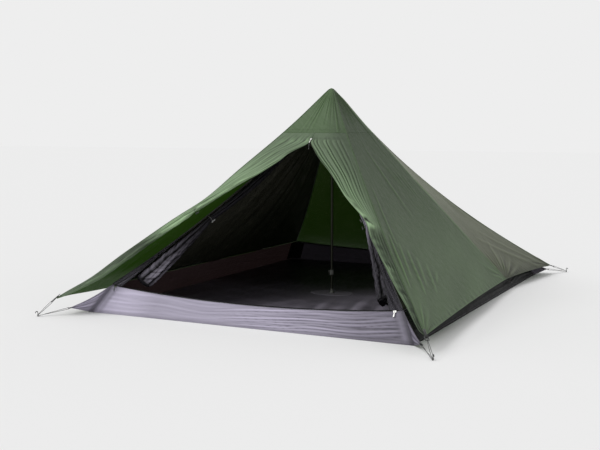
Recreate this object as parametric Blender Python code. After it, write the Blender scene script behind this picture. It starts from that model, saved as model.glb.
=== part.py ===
"""Two-skin pyramid tent on one centre pole, pitched with its front doors rolled open.

Metres, +Z up. The origin is on the ground at the centre of the four pegs, and the
front faces -Y. Each sewn panel, cord, buckle, peg and pole section is its own object.
"""
import math

import bmesh
import bpy
from mathutils import Matrix, Vector

# Pitch: where the corners of the fly and of the inner tent stand
PEAK_HEIGHT = 1.5
POLE_FORWARD = 0.096
PEG_HALF_WIDTH = 1.34
PEG_HALF_DEPTH = 1.7475
FLY_FRONT_HALF_WIDTH = 1.27
FLY_FRONT_REACH = 1.66
FLY_FRONT_CLEARANCE = 0.11
FLY_BACK_HALF_WIDTH = 1.24
FLY_BACK_REACH = 1.60
FLY_BACK_CLEARANCE = 0.07
SIDE_TIE_HALF_WIDTH = 1.114
SIDE_TIE_BACK = 0.632
SIDE_TIE_CLEARANCE = 0.08
BACK_MID_REACH = 1.50
BACK_MID_CLEARANCE = 0.09
INNER_HALF_WIDTH = 1.1325
INNER_HALF_DEPTH = 1.467
INNER_PEAK_DROP = 0.10
INNER_START_SHARE = 0.03

# Cloth
FLY_THICKNESS = 0.003
MESH_THICKNESS = 0.0025
TUB_THICKNESS = 0.0025
FLOOR_THICKNESS = 0.002
SEAM_GAP = 0.0004
CAP_DEPTH = 0.31
PEAK_FLAT_RADIUS_SHARE = 0.006

# How far each taut line of cloth bows below its straight chord
FRONT_BOW_SHARE = 0.24
FRONT_FADE_SHARE = -0.08
BACK_BOW_SHARE = 0.47
BACK_FADE_SHARE = -0.20
SIDE_BOW_SHARE = 0.0
INNER_FRONT_BOW_SHARE = 0.24
INNER_BACK_BOW_SHARE = 0.30
PANEL_HOLLOW = 0.018
MESH_HOLLOW = 0.03
FRONT_HEM_ARCH_SHARE = 0.018
BACK_HEM_ARCH_SHARE = 0.030

# Door opening: down share below the cap, across share from left to right ridge
LEFT_EDGE_SHARES = ((0, 0.499), (0.04, 0.499), (0.0556, 0.497), (0.115, 0.345), (0.17, 0.28), (0.24, 0.192),
                    (0.314, 0.121), (0.437, 0.078), (0.543, 0.064), (0.65, 0.054), (0.75, 0.054), (0.85, 0.047),
                    (0.94, 0.034), (1, 0.016))
RIGHT_EDGE_SHARES = ((0, 0.501), (0.04, 0.501), (0.0556, 0.503), (0.115, 0.605), (0.233, 0.771), (0.358, 0.861),
                     (0.472, 0.934), (0.56, 0.940), (0.633, 0.950), (0.712, 0.960), (0.808, 0.970), (0.9, 0.980),
                     (1, 0.988))
TOGGLE_DOWN_SHARE = 0.472
LEFT_TOGGLE_DOWN_SHARE = 0.47
LEFT_ROLL_DEPTH = 0.024
RIGHT_ROLL_DEPTH = 0.020
PLEAT_COUNT = 4.5
PLEAT_HEIGHT = 0.016
PLEAT_START_SHARE = 0.12
GATHER_START_SHARE = 0.06
DOOR_CORNER_SHARE = 0.985

# Bathtub walls
TUB_HEIGHT = 0.175
TUB_LEAN = 0.1
TUB_SAG = 0.045
EAR_REACH = 0.129
EAR_TIP_HEIGHT = 0.036
EAR_TIP_WIDTH = 0.008
CORNER_INSET = 0.006

# Rolled inner doors
ROLL_RADIUS = 0.045
ROLL_NECK = 0.020
ROLL_TOP_RADIUS = 0.012
ROLL_TOP_SHARE = 0.16
ROLL_LOW_SHARE = 0.925
ROLL_TIE_SHARE = 0.59
ROLL_INSET = 0.006
ROLL_SIDE_SHARE = 0.8
ROLL_GAP = 0.0006
ROLL_FOLDS = 4
ROLL_FOLD_DEPTH_SHARE = 0.16
ROLL_FILL_SHARE = 1.6
ROLL_BULGE_SHARE = 0.45
ROLL_SIDES = 16
ROLL_SLOPE_SHARE = 0.02
ROLL_LOW_RINGS = 8
ROLL_HIGH_RINGS = 10
STRIP_TOP_SHARE = 0.66
STRIP_ACROSS_SHARE = 0.043
STRIP_TIP_SHARE = 0.12

# Pole
POLE_RADIUS = 0.0095
POLE_BORE_RADIUS = 0.0086
LOWER_RADIUS = 0.0083
LOWER_BORE_RADIUS = 0.0070
POLE_UPPER_START = 0.143
LOWER_TUBE_REACH = 0.30
COLLAR_START = 0.140
COLLAR_HEIGHT = 0.034
COLLAR_RADIUS = 0.0145
COLLAR_LIP = 0.0022
RUNNING_GAP = 0.0003
FOOT_RADIUS = 0.0165
FOOT_NECK_RADIUS = 0.0105
FOOT_HEIGHT = 0.032
FOOT_FLARE_HEIGHT = 0.007
TIP_DOME_HEIGHT = 0.009
TIP_PLUG_LENGTH = 0.045
TIP_COLLAR_HEIGHT = 0.004
CUP_WALL = 0.006
CUP_DEPTH = 0.055
CUP_TOP_DROP = 0.020
LEVER_LENGTH = 0.030
LEVER_WIDTH = 0.0084
LEVER_THICKNESS = 0.0035
LEVER_CAM_RADIUS = 0.0040
LEVER_PIN_RADIUS = 0.0015
LEVER_EAR_WIDTH = 0.0022
LEVER_EAR_RADIUS = 0.0034
LEVER_STAND = 0.0052
LEVER_PIN_DROP = 0.006
LEVER_SHOULDER_SHARE = 1.4
PIN_HEIGHT = COLLAR_START + COLLAR_HEIGHT - LEVER_PIN_DROP
LEVER_LIP = 0.0022
PATCH_RADIUS = 0.11
PATCH_LENGTH_SHARE = 1.5
PATCH_THICKNESS = 0.0015

# Peak hanger
HANGER_RADIUS = 0.0022
HANGER_OFFSET = 0.030
TOP_EDGE_RISE = 0.0006

# Zip sliders and pulls
SLIDER_LENGTH = 0.018
SLIDER_WIDTH = 0.013
SLIDER_THICKNESS = 0.0055
SLIDER_ROUND = 0.0016
BRIDGE_RADIUS = 0.0009
BRIDGE_STAND = 0.0030
BRIDGE_HALF_SPAN = 0.0041
BRIDGE_SIDES = 8
PULL_LENGTH = 0.034
PULL_WIDTH = 0.0046
PULL_TIP_WIDTH = 0.0078
PULL_THICKNESS = 0.0016
PULL_EYE_GAP = 0.0004
CORD_HOLE_RADIUS = 0.0016
PULL_CORD_RADIUS = 0.0011
PULL_CORD_LENGTH = 0.045
PULL_CORD_BEND_SHARE = 0.3
PULL_CORD_STEPS = 9
PULL_SHOULDER_SHARE = 0.9
PULL_HOLE_SHARE = 0.8
ZIP_END_DOWN_SHARE = 0.045
SLIDER_OFF_CLOTH = 0.0004
MESH_SLIDER_ACROSS_SHARE = 0.018
MESH_PULL_ACROSS_SHARE = 0.025

# Toggles
TOGGLE_LENGTH = 0.030
TOGGLE_RADIUS = 0.0038
TOGGLE_WAIST_SHARE = 0.55
TOGGLE_FLARE_SHARE = 0.8
TOGGLE_STEM_RADIUS = 0.0014
TOGGLE_STEM_LENGTH = 0.016
TOGGLE_OFF = 0.0003
TOGGLE_HEM_OFF = 0.0008

# Corner buckles, cords and pegs
BUCKLE_LENGTH = 0.032
BUCKLE_WIDTH = 0.024
BUCKLE_THICKNESS = 0.0042
BUCKLE_BAR = 0.0042
BUCKLE_ROUND = 0.0014
HOOK_LENGTH = 0.022
HOOK_WIDTH = 0.017
CORD_RADIUS = 0.0014
CORD_LIFT = 0.0045
CORD_SPACING = 0.0060
TIE_RADIUS = 0.0010
HEM_TIE_BACK = 0.25
FLY_BUCKLE_OFF = 0.0004
EAR_BUCKLE_OFF = 0.0008
PEG_RADIUS = 0.0025
PEG_STAND = 0.026
PEG_HOOK_RADIUS = 0.0075
PEG_HOOK_TURN = math.radians(205)
OVERRUN = 0.01

# Meshing
PANEL_COLUMNS = 6
PANEL_ROWS = 10
LEFT_DOOR_COLUMNS = 10
RIGHT_DOOR_COLUMNS = 31
DOOR_ROWS = 18
CAP_ROWS = 4
CAP_COLUMNS = 3
MESH_COLUMNS = 8
MESH_ROWS = 8
TUB_COLUMNS = 14
STRIP_COLUMNS = 3
ROUND_SIDES = 24
LOOP_POINTS = 6
ARC_POINTS = 4

# Colours: linear RGB, roughness, metallic
FLY_GREEN = (0.085, 0.145, 0.075)
FLY_LIGHT = (0.14, 0.23, 0.12)
TUB_GREY = (0.33, 0.30, 0.37)
MESH_DARK = (0.035, 0.033, 0.040)
FLOOR_DARK = (0.035, 0.033, 0.038)
CORD_DARK = (0.06, 0.06, 0.06)
CORD_GREY = (0.45, 0.45, 0.44)
PLASTIC_DARK = (0.02, 0.02, 0.022)
PLASTIC_PALE = (0.6, 0.6, 0.6)
ALUMINIUM = (0.35, 0.36, 0.37)
STEEL = (0.5, 0.5, 0.5)
CLOTH_ROUGHNESS = 0.55
PLASTIC_ROUGHNESS = 0.4
METAL_ROUGHNESS = 0.3

UP = Vector((0, 0, 1))
RIGHT = Vector((1, 0, 0))
BACK = Vector((0, 1, 0))


def clear_scene():
    """Removes whatever the scene starts with."""
    for obj in list(bpy.data.objects):
        bpy.data.objects.remove(obj, do_unlink=True)


def finish_of(name, colour, roughness=CLOTH_ROUGHNESS, metallic=0.0):
    """The material of one sub-part, named after it."""
    material = bpy.data.materials.new(name)
    material.use_nodes = True
    shader = material.node_tree.nodes["Principled BSDF"]
    shader.inputs["Base Color"].default_value = (*colour, 1)
    shader.inputs["Roughness"].default_value = roughness
    shader.inputs["Metallic"].default_value = metallic
    return material


def add_object(name, data, finish, origin=None):
    """Links an object; with an origin, the mesh turns about that point."""
    obj = bpy.data.objects.new(name, data)
    bpy.context.scene.collection.objects.link(obj)
    data.materials.append(finish_of(name, *finish))
    if origin is not None:
        data.transform(Matrix.Translation(-origin))
        obj.location = origin
    return obj


def mesh_from(points, faces, smooth=True):
    """A closed mesh with its faces turned outwards."""
    shape = bmesh.new()
    corners = [shape.verts.new(point) for point in points]
    for face in faces:
        shape.faces.new([corners[index] for index in face])
    bmesh.ops.recalc_face_normals(shape, faces=shape.faces)
    if shape.calc_volume(signed=True) < 0:
        bmesh.ops.reverse_faces(shape, faces=shape.faces)
    mesh = bpy.data.meshes.new("shape")
    shape.to_mesh(mesh)
    shape.free()
    if smooth:
        mesh.shade_smooth()
        mesh.set_sharp_from_angle(angle=math.radians(35))
    return mesh


def sheet_mesh(front, behind):
    """Closes two grids of points, the two faces of one piece of cloth, into a solid."""
    rows, columns = len(front), len(front[0])
    points = [point for row in front for point in row] + [point for row in behind for point in row]
    shift = rows * columns

    def index(row, column):
        return row * columns + column

    faces = []
    for row in range(rows - 1):
        for column in range(columns - 1):
            quad = [index(row, column), index(row, column + 1), index(row + 1, column + 1), index(row + 1, column)]
            faces.append(quad)
            faces.append([shift + corner for corner in reversed(quad)])
    rim = [index(0, column) for column in range(columns)]
    rim += [index(row, columns - 1) for row in range(1, rows)]
    rim += [index(rows - 1, column) for column in range(columns - 2, -1, -1)]
    rim += [index(row, 0) for row in range(rows - 2, 0, -1)]
    for here, there in zip(rim, rim[1:] + rim[:1]):
        faces.append([there, here, shift + here, shift + there])
    return mesh_from(points, faces)


def ring_mesh(rings, closed=False, smooth=True):
    """Joins rings of points into a tube; its ends are capped, or joined when closed."""
    sides = len(rings[0])
    points = [point for ring in rings for point in ring]
    spans = len(rings) if closed else len(rings) - 1
    faces = []
    for ring in range(spans):
        after = (ring + 1) % len(rings)
        for side in range(sides):
            beside = (side + 1) % sides
            faces.append([ring * sides + side, ring * sides + beside, after * sides + beside, after * sides + side])
    if not closed:
        faces.append(list(range(sides)))
        faces.append([(len(rings) - 1) * sides + side for side in range(sides)])
    return mesh_from(points, faces, smooth)


def turned_mesh(profile, centre, hollow=False, sides=ROUND_SIDES):
    """Turns a profile of (radius, height) pairs about an upright axis through centre."""
    rings = []
    for radius, height in profile:
        turns = [2 * math.pi * side / sides for side in range(sides)]
        rings.append([centre + Vector((radius * math.cos(turn), radius * math.sin(turn), height)) for turn in turns])
    return ring_mesh(rings, closed=hollow)


def outline_mesh(outline, thickness, place):
    """A flat outline of (x, y) pairs given a thickness, centred on its own plane, then placed."""
    low = [place @ Vector((x, y, -thickness / 2)) for x, y in outline]
    high = [place @ Vector((x, y, thickness / 2)) for x, y in outline]
    return ring_mesh([low, high], smooth=False)


def box_mesh(size, place):
    """A box of the given size, centred on the place."""
    wide, deep = size[0] / 2, size[1] / 2
    return outline_mesh([(-wide, -deep), (wide, -deep), (wide, deep), (-wide, deep)], size[2], place)


def frame_along(origin, along, upward=UP):
    """Axes at origin: X along, Y level across, Z as near upward as it can be."""
    forward = along.normalized()
    across = upward.cross(forward).normalized()
    above = forward.cross(across)
    turn = Matrix((forward, across, above)).transposed().to_4x4()
    return Matrix.Translation(origin) @ turn


def boolean(target, operation, name, mesh):
    """Adds or takes away a helper shape, which stays in the file as a wire guide."""
    helper = bpy.data.objects.new(name, mesh)
    bpy.context.scene.collection.objects.link(helper)
    helper.location = target.location
    helper.hide_render = True
    helper.display_type = "WIRE"
    step = target.modifiers.new(name, "BOOLEAN")
    step.operation = operation
    step.solver = "EXACT"
    step.object = helper
    return helper


def cut(target, name, mesh):
    """Cuts a shape out of a target."""
    return boolean(target, "DIFFERENCE", name, mesh)


def join(target, name, mesh):
    """Joins a shape to a target."""
    return boolean(target, "UNION", name, mesh)


def round_edges(obj, width, segments=2):
    """Rounds the sharp edges of a moulded piece."""
    step = obj.modifiers.new("rounded", "BEVEL")
    step.width = width
    step.segments = segments
    step.limit_method = "ANGLE"
    step.angle_limit = math.radians(50)
    return step


def smooth_through(pairs, share):
    """A smooth curve through (share, value) pairs, read at one share."""
    for index in range(len(pairs) - 1):
        (low, first), (high, second) = pairs[index], pairs[index + 1]
        if share <= high or index == len(pairs) - 2:
            before = pairs[max(index - 1, 0)]
            after = pairs[min(index + 2, len(pairs) - 1)]
            span = high - low
            leave = (second - before[1]) / (high - before[0]) * span
            arrive = (after[1] - first) / (after[0] - low) * span
            t = (share - low) / span
            return ((2 * t ** 3 - 3 * t ** 2 + 1) * first + (t ** 3 - 2 * t ** 2 + t) * leave
                    + (3 * t ** 2 - 2 * t ** 3) * second + (t ** 3 - t ** 2) * arrive)
    return pairs[-1][1]


class Rib:
    """One taut line of cloth from the peak down to a point on the hem."""

    def __init__(self, top, foot, bow_share, fade_share=0.0):
        self.top = top
        self.foot = foot
        self.bow_share = bow_share
        self.fade_share = fade_share

    def at(self, share):
        """The point at a share of the way from the peak to the hem."""
        bow = (self.bow_share + self.fade_share * share) * share * (1 - share)
        point = self.top.lerp(self.foot, share)
        point.z = self.top.z - (self.top.z - self.foot.z) * (share + bow)
        return point

    def share_at_height(self, height):
        """The share at which the line passes a height, found by halving."""
        low, high = 0.0, 1.0
        for _ in range(40):
            middle = (low + high) / 2
            if self.at(middle).z > height:
                low = middle
            else:
                high = middle
        return low


AXIS = Vector((0, -POLE_FORWARD, 0))
PEAK = AXIS + UP * PEAK_HEIGHT
INNER_PEAK = AXIS + UP * (PEAK_HEIGHT - INNER_PEAK_DROP)
SEAM_HEIGHT = PEAK_HEIGHT - CAP_DEPTH


def fly_ribs():
    """The fly's ridges and mid-side tension lines, by name."""
    front = (FRONT_BOW_SHARE, FRONT_FADE_SHARE)
    back = (BACK_BOW_SHARE, BACK_FADE_SHARE)
    ribs = {}
    for side, name in ((-1, "left"), (1, "right")):
        corner = Vector((side * FLY_FRONT_HALF_WIDTH, -FLY_FRONT_REACH, FLY_FRONT_CLEARANCE))
        ribs["front_" + name] = Rib(PEAK, corner, *front)
        tie = Vector((side * SIDE_TIE_HALF_WIDTH, SIDE_TIE_BACK, SIDE_TIE_CLEARANCE))
        ribs["side_" + name] = Rib(PEAK, tie, SIDE_BOW_SHARE)
        corner = Vector((side * FLY_BACK_HALF_WIDTH, FLY_BACK_REACH, FLY_BACK_CLEARANCE))
        ribs["back_" + name] = Rib(PEAK, corner, *back)
    ribs["back_middle"] = Rib(PEAK, Vector((0, BACK_MID_REACH, BACK_MID_CLEARANCE)), *back)
    return ribs


def inner_ribs():
    """The inner tent's four ridges, down to the top corners of the bathtub walls."""
    ribs = {}
    for side, name in ((-1, "left"), (1, "right")):
        for end, place, bow in ((-1, "front_", INNER_FRONT_BOW_SHARE), (1, "back_", INNER_BACK_BOW_SHARE)):
            ribs[place + name] = Rib(INNER_PEAK, tub_corner(side, end, TUB_HEIGHT), bow)
    return ribs


def tub_corner(side, end, height):
    """A corner of the bathtub at a height above the ground."""
    inset = TUB_LEAN * height / TUB_HEIGHT
    return Vector((side * (INNER_HALF_WIDTH - inset), end * (INNER_HALF_DEPTH - inset), height))


def tub_edge(first, second, share, height=None):
    """A point of a bathtub wall between two corners; without a height, on its sagging top edge."""
    if height is None:
        height = TUB_HEIGHT - TUB_SAG * 4 * share * (1 - share)
    return tub_corner(*first, height).lerp(tub_corner(*second, height), share)


def inward(point):
    """The level direction from a point to the pole."""
    level = AXIS - point
    level.z = 0
    return level.normalized()


def gore_grid(ribs, starts, arch_share, hollow, columns, rows, edge_gap):
    """Points of the cloth stretched over a row of ribs, from a start share on each rib to the hem."""
    places = []
    for gore in range(len(ribs) - 1):
        for column in range(columns + (gore == len(ribs) - 2)):
            places.append((gore, column / columns))
    grid = []
    for row in range(rows + 1):
        down = row / rows
        line = []
        for gore, across in places:
            hem = 1 - arch_share * 4 * across * (1 - across)
            ends = []
            for rib, start in ((ribs[gore], starts[gore]), (ribs[gore + 1], starts[gore + 1])):
                ends.append(rib.at(start + (hem - start) * down))
            point = ends[0].lerp(ends[1], across)
            point += inward(point) * hollow * 4 * across * (1 - across) * math.sin(math.pi * down)
            line.append(point)
        for end, beside in ((0, 1), (-1, -2)):
            line[end] = line[end] + (line[beside] - line[end]).normalized() * edge_gap
        grid.append(line)
    return grid


def lowered(grid, drop):
    """The grid's inner face: each point moved straight down by the cloth's thickness."""
    return [[point - UP * drop for point in line] for line in grid]


def seam_share(rib, gap=0.0):
    """The share on a rib at the cap's seam, a little below it where a gap is given."""
    return rib.share_at_height(SEAM_HEIGHT - gap)


def build_fly_panels(ribs):
    """The three closed sides of the fly, each with the tension line of its mid hem tie."""
    sides = (("fly_left_panel", ("front_left", "side_left", "back_left"), FRONT_HEM_ARCH_SHARE),
             ("fly_right_panel", ("front_right", "side_right", "back_right"), FRONT_HEM_ARCH_SHARE),
             ("fly_back_panel", ("back_right", "back_middle", "back_left"), BACK_HEM_ARCH_SHARE))
    for name, names, arch_share in sides:
        line = [ribs[rib] for rib in names]
        starts = [seam_share(rib, SEAM_GAP) for rib in line]
        grid = gore_grid(line, starts, arch_share, PANEL_HOLLOW, PANEL_COLUMNS, PANEL_ROWS, SEAM_GAP)
        add_object(name, sheet_mesh(grid, lowered(grid, FLY_THICKNESS)), (FLY_GREEN,))


def build_peak_cap(ribs):
    """The peak cap: every gore down to the seam, left open below."""
    order = ("front_left", "front_right", "side_right", "back_right", "back_middle", "back_left", "side_left")
    line = [ribs[name] for name in order]
    rings = []
    for row in range(CAP_ROWS + 1):
        down = PEAK_FLAT_RADIUS_SHARE + (1 - PEAK_FLAT_RADIUS_SHARE) * row / CAP_ROWS
        ring = []
        for rib, after in zip(line, line[1:] + line[:1]):
            for column in range(CAP_COLUMNS):
                first = rib.at(seam_share(rib) * down)
                second = after.at(seam_share(after) * down)
                ring.append(first.lerp(second, column / CAP_COLUMNS))
        rings.append(ring)
    shell = rings + lowered(rings[::-1], FLY_THICKNESS)
    add_object("peak_cap", ring_mesh(shell), (FLY_GREEN,))


def front_point(ribs, down, across):
    """A point of the fly's front face: down from the cap's seam, across from the left ridge."""
    ends = []
    for name in ("front_left", "front_right"):
        rib = ribs[name]
        start = seam_share(rib, SEAM_GAP)
        ends.append(rib.at(start + (DOOR_CORNER_SHARE - start) * down))
    return ends[0].lerp(ends[1], across)


def pleat_wave(share):
    """Rounded pleats across the gathered door, flat beside the ridge."""
    if share < PLEAT_START_SHARE:
        return 0.0
    turn = (share - PLEAT_START_SHARE) / (1 - PLEAT_START_SHARE) * PLEAT_COUNT
    return 0.5 - 0.5 * math.cos(2 * math.pi * turn)


def build_door(name, ribs, edge_shares, ridge_across, columns, roll_depth, pleat_height, toggle_share):
    """One door half: cloth from a front ridge to its free edge, gathered down to the toggle and rolled below."""
    face, behind = [], []
    for row in range(DOOR_ROWS + 1):
        down = row / DOOR_ROWS
        edge = smooth_through(edge_shares, down)
        loose = max(down - GATHER_START_SHARE, 0) / (toggle_share - GATHER_START_SHARE)
        gather = math.sin(math.pi * min(loose, 1)) ** 2
        rolled = min(down / toggle_share, 1) ** 2 * (1 - down ** 6)
        line, under = [], []
        for column in range(columns + 1):
            share = column / columns
            point = front_point(ribs, down, ridge_across + (edge - ridge_across) * share)
            point += UP * pleat_height * gather * pleat_wave(share)
            line.append(point)
            under.append(point - UP * (FLY_THICKNESS + roll_depth * rolled * math.sin(math.pi * share) ** 2))
        step = (line[1] - line[0]).normalized() * SEAM_GAP
        line[0], under[0] = line[0] + step, under[0] + step
        face.append(line)
        behind.append(under)
    add_object(name, sheet_mesh(face, behind), (FLY_LIGHT,))


def build_doors(ribs):
    """Both halves of the fly's door."""
    build_door("fly_door_left", ribs, LEFT_EDGE_SHARES, 0, LEFT_DOOR_COLUMNS, LEFT_ROLL_DEPTH, 0,
               LEFT_TOGGLE_DOWN_SHARE)
    build_door("fly_door_right", ribs, RIGHT_EDGE_SHARES, 1, RIGHT_DOOR_COLUMNS, RIGHT_ROLL_DEPTH, PLEAT_HEIGHT,
               TOGGLE_DOWN_SHARE)


def build_toggle(name, seat, along, bar):
    """A toggle on a short stem: the stem's end stands at the seat and the bar crosses it."""
    stem = along.normalized()
    start = seat + stem * TOGGLE_OFF
    reach = TOGGLE_STEM_LENGTH
    sides = ROUND_SIDES // 2
    profile = [(TOGGLE_STEM_RADIUS, 0), (TOGGLE_STEM_RADIUS, reach)]
    place = Matrix.Translation(start) @ stem.to_track_quat("Z", "Y").to_matrix().to_4x4()
    stem_mesh = turned_mesh(profile, Vector(), sides=sides)
    stem_mesh.transform(place)
    half = TOGGLE_LENGTH / 2
    waist = TOGGLE_RADIUS * TOGGLE_WAIST_SHARE
    flare = half * TOGGLE_FLARE_SHARE
    bar_profile = [(waist, -half), (TOGGLE_RADIUS, -flare), (waist, 0), (TOGGLE_RADIUS, flare), (waist, half)]
    bar_mesh = turned_mesh(bar_profile, Vector(), sides=sides)
    level = (bar - stem * bar.dot(stem)).normalized()
    centre = start + stem * reach
    bar_mesh.transform(Matrix.Translation(centre) @ level.to_track_quat("Z", "Y").to_matrix().to_4x4())
    toggle = add_object(name, bar_mesh, (PLASTIC_DARK, PLASTIC_ROUGHNESS), origin=start)
    stem_mesh.transform(Matrix.Translation(-start))
    join(toggle, name + "_stem", stem_mesh)


def tub_path(first, second, columns):
    """Bottom and top points of a wall from one corner to the next."""
    bottoms = [tub_edge(first, second, column / columns, 0) for column in range(columns + 1)]
    tops = [tub_edge(first, second, column / columns) for column in range(columns + 1)]
    return bottoms, tops


def ear_tip(side, end):
    """The tip of a corner ear, out on the line to its peg."""
    corner = tub_corner(side, end, 0)
    peg = Vector((side * PEG_HALF_WIDTH, end * PEG_HALF_DEPTH, 0))
    return corner + (peg - corner).normalized() * EAR_REACH + UP * EAR_TIP_HEIGHT


def wall_rows(bottoms, tops):
    """Three rows of points up a wall."""
    middles = [low.lerp(high, 0.5) for low, high in zip(bottoms, tops)]
    return [bottoms, middles, tops]


def level_steps(path, facing):
    """The level step square to a path at each of its points, longer at bends to keep one thickness."""
    steps = []
    for index, point in enumerate(path):
        legs = [point - before for before in path[max(index - 1, 0):index]]
        legs += [after - point for after in path[index + 1:index + 2]]
        squares = [UP.cross(leg).normalized() * facing for leg in legs]
        mean = sum(squares, Vector()).normalized()
        steps.append(mean / mean.dot(squares[0]))
    return steps


def build_tub():
    """The four inclined bathtub walls; the front and back ones run out into the corner ears."""
    for name, end in (("tub_wall_front", -1), ("tub_wall_back", 1)):
        bottoms, tops = tub_path((-1, end), (1, end), TUB_COLUMNS)
        tips = [ear_tip(side, end) for side in (-1, 1)]
        bottoms = tips[:1] + bottoms + tips[1:]
        tops = [tips[0] + UP * EAR_TIP_WIDTH] + tops + [tips[1] + UP * EAR_TIP_WIDTH]
        rows = wall_rows(bottoms, tops)
        steps = level_steps(bottoms, -end)
        inside = [[point + step * TUB_THICKNESS for point, step in zip(row, steps)] for row in rows]
        add_object(name, sheet_mesh(rows, inside), (TUB_GREY,))
    for name, side in (("tub_wall_left", -1), ("tub_wall_right", 1)):
        bottoms, tops = tub_path((side, -1), (side, 1), TUB_COLUMNS)
        inset = BACK * (TUB_THICKNESS + CORNER_INSET)
        for line in (bottoms, tops):
            line[0] = line[0] + inset
            line[-1] = line[-1] - inset
        rows = wall_rows(bottoms, tops)
        inside = [[point - RIGHT * side * TUB_THICKNESS for point in row] for row in rows]
        add_object(name, sheet_mesh(rows, inside), (TUB_GREY,))


def build_floor():
    """The groundsheet between the walls and the patch under the pole."""
    lean = TUB_LEAN * FLOOR_THICKNESS / TUB_HEIGHT
    inset = TUB_THICKNESS + SEAM_GAP + lean
    size = (2 * (INNER_HALF_WIDTH - inset), 2 * (INNER_HALF_DEPTH - inset), FLOOR_THICKNESS)
    floor = box_mesh(size, Matrix.Translation(UP * FLOOR_THICKNESS / 2))
    add_object("inner_floor", floor, (FLOOR_DARK,))
    low = FLOOR_THICKNESS + RUNNING_GAP
    patch = turned_mesh([(PATCH_RADIUS, low), (PATCH_RADIUS, low + PATCH_THICKNESS)], AXIS, sides=2 * ROUND_SIDES)
    stretch = Matrix.Scale(PATCH_LENGTH_SHARE, 4, RIGHT)
    patch.transform(stretch)
    add_object("pole_patch", patch, (FLOOR_DARK,))


def build_mesh_walls(ribs):
    """The closed mesh sides, from the inner peak down to the bathtub's top edge."""
    sides = (("mesh_wall_left", "front_left", "back_left", (-1, -1), (-1, 1)),
             ("mesh_wall_right", "front_right", "back_right", (1, -1), (1, 1)),
             ("mesh_wall_back", "back_right", "back_left", (1, 1), (-1, 1)))
    for name, first, second, start, stop in sides:
        grid = []
        for row in range(MESH_ROWS + 1):
            down = INNER_START_SHARE + (1 - INNER_START_SHARE) * row / MESH_ROWS
            line = []
            for column in range(MESH_COLUMNS + 1):
                across = column / MESH_COLUMNS
                point = ribs[first].at(down).lerp(ribs[second].at(down), across)
                point += inward(point) * MESH_HOLLOW * 4 * across * (1 - across) * math.sin(math.pi * down)
                hem = tub_edge(start, stop, across)
                point += (hem - ribs[first].at(1).lerp(ribs[second].at(1), across)) * down ** 2
                point += UP * (MESH_THICKNESS + SEAM_GAP)
                line.append(point)
            line[0] = line[0] + (line[1] - line[0]).normalized() * SEAM_GAP
            line[-1] = line[-1] + (line[-2] - line[-1]).normalized() * SEAM_GAP
            grid.append(line)
        add_object(name, sheet_mesh(grid, lowered(grid, MESH_THICKNESS)), (MESH_DARK,))


def inner_front_point(ribs, down, across):
    """A point of the inner tent's front face, which ends on the front wall's top edge."""
    left, right = ribs["front_left"], ribs["front_right"]
    point = left.at(down).lerp(right.at(down), across)
    point += (tub_edge((-1, -1), (1, -1), across) - left.at(1).lerp(right.at(1), across)) * down ** 2
    return point + UP * (MESH_THICKNESS + SEAM_GAP)


def build_mesh_strips(ribs):
    """The fixed strips of mesh between the inner door's side zips and the front ridges."""
    for name, side in (("mesh_strip_left", -1), ("mesh_strip_right", 1)):
        ridge = 0 if side < 0 else 1
        grid = []
        for row in range(MESH_ROWS + 1):
            down = STRIP_TOP_SHARE + (1 - STRIP_TOP_SHARE) * row / MESH_ROWS
            wide = strip_width_share(down)
            shares = [column / STRIP_COLUMNS for column in range(STRIP_COLUMNS + 1)]
            line = [inner_front_point(ribs, down, abs(ridge - wide * share)) for share in shares]
            line[0] = line[0] + (line[1] - line[0]).normalized() * SEAM_GAP
            grid.append(line)
        add_object(name, sheet_mesh(grid, lowered(grid, MESH_THICKNESS)), (MESH_DARK,))


def strip_width_share(down):
    """How far across the front face a mesh strip reaches from its ridge."""
    share = max(down - STRIP_TOP_SHARE, 0) / (1 - STRIP_TOP_SHARE)
    return STRIP_ACROSS_SHARE * (STRIP_TIP_SHARE + (1 - STRIP_TIP_SHARE) * share)


def roll_spine(ribs, side, share):
    """The centre line and radius of a rolled inner door, share 0 at its lower end."""
    down = ROLL_LOW_SHARE + (ROLL_TOP_SHARE - ROLL_LOW_SHARE) * share
    tie = (down - ROLL_TIE_SHARE) / (ROLL_LOW_SHARE - ROLL_TIE_SHARE)
    if tie > 0:
        radius = ROLL_NECK + (ROLL_RADIUS - ROLL_NECK) * math.sin(math.pi / 2 * min(tie * ROLL_FILL_SHARE, 1))
    else:
        rest = -tie * (ROLL_LOW_SHARE - ROLL_TIE_SHARE) / (ROLL_TIE_SHARE - ROLL_TOP_SHARE)
        bulge = math.sin(math.pi * min(rest, 1))
        swell = (ROLL_RADIUS - ROLL_NECK) * ROLL_BULGE_SHARE * bulge
        radius = ROLL_NECK + (ROLL_TOP_RADIUS - ROLL_NECK) * rest + swell
    rib = ribs["front_left" if side < 0 else "front_right"]
    inset = (radius * ROLL_SIDE_SHARE + ROLL_INSET) / abs(2 * rib.at(down).x)
    across = (inset ** 4 + strip_width_share(down) ** 4) ** 0.25
    across = across if side < 0 else 1 - across
    spot = inner_front_point(ribs, down, across)
    beside = inner_front_point(ribs, down, across + ROLL_SLOPE_SHARE) - spot
    below = inner_front_point(ribs, down + ROLL_SLOPE_SHARE, across) - spot
    outward = below.cross(beside).normalized()
    return spot - UP * MESH_THICKNESS - outward * (radius + ROLL_GAP), radius


def roll_frame(ribs, side, share):
    """Axes on a roll's centre line, X up along it and Z facing the doorway, with its radius."""
    centre, radius = roll_spine(ribs, side, share)
    ahead = roll_spine(ribs, side, min(share + ROLL_SLOPE_SHARE, 1))[0]
    behind = roll_spine(ribs, side, max(share - ROLL_SLOPE_SHARE, 0))[0]
    return frame_along(centre, ahead - behind, RIGHT * -side), radius


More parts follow.
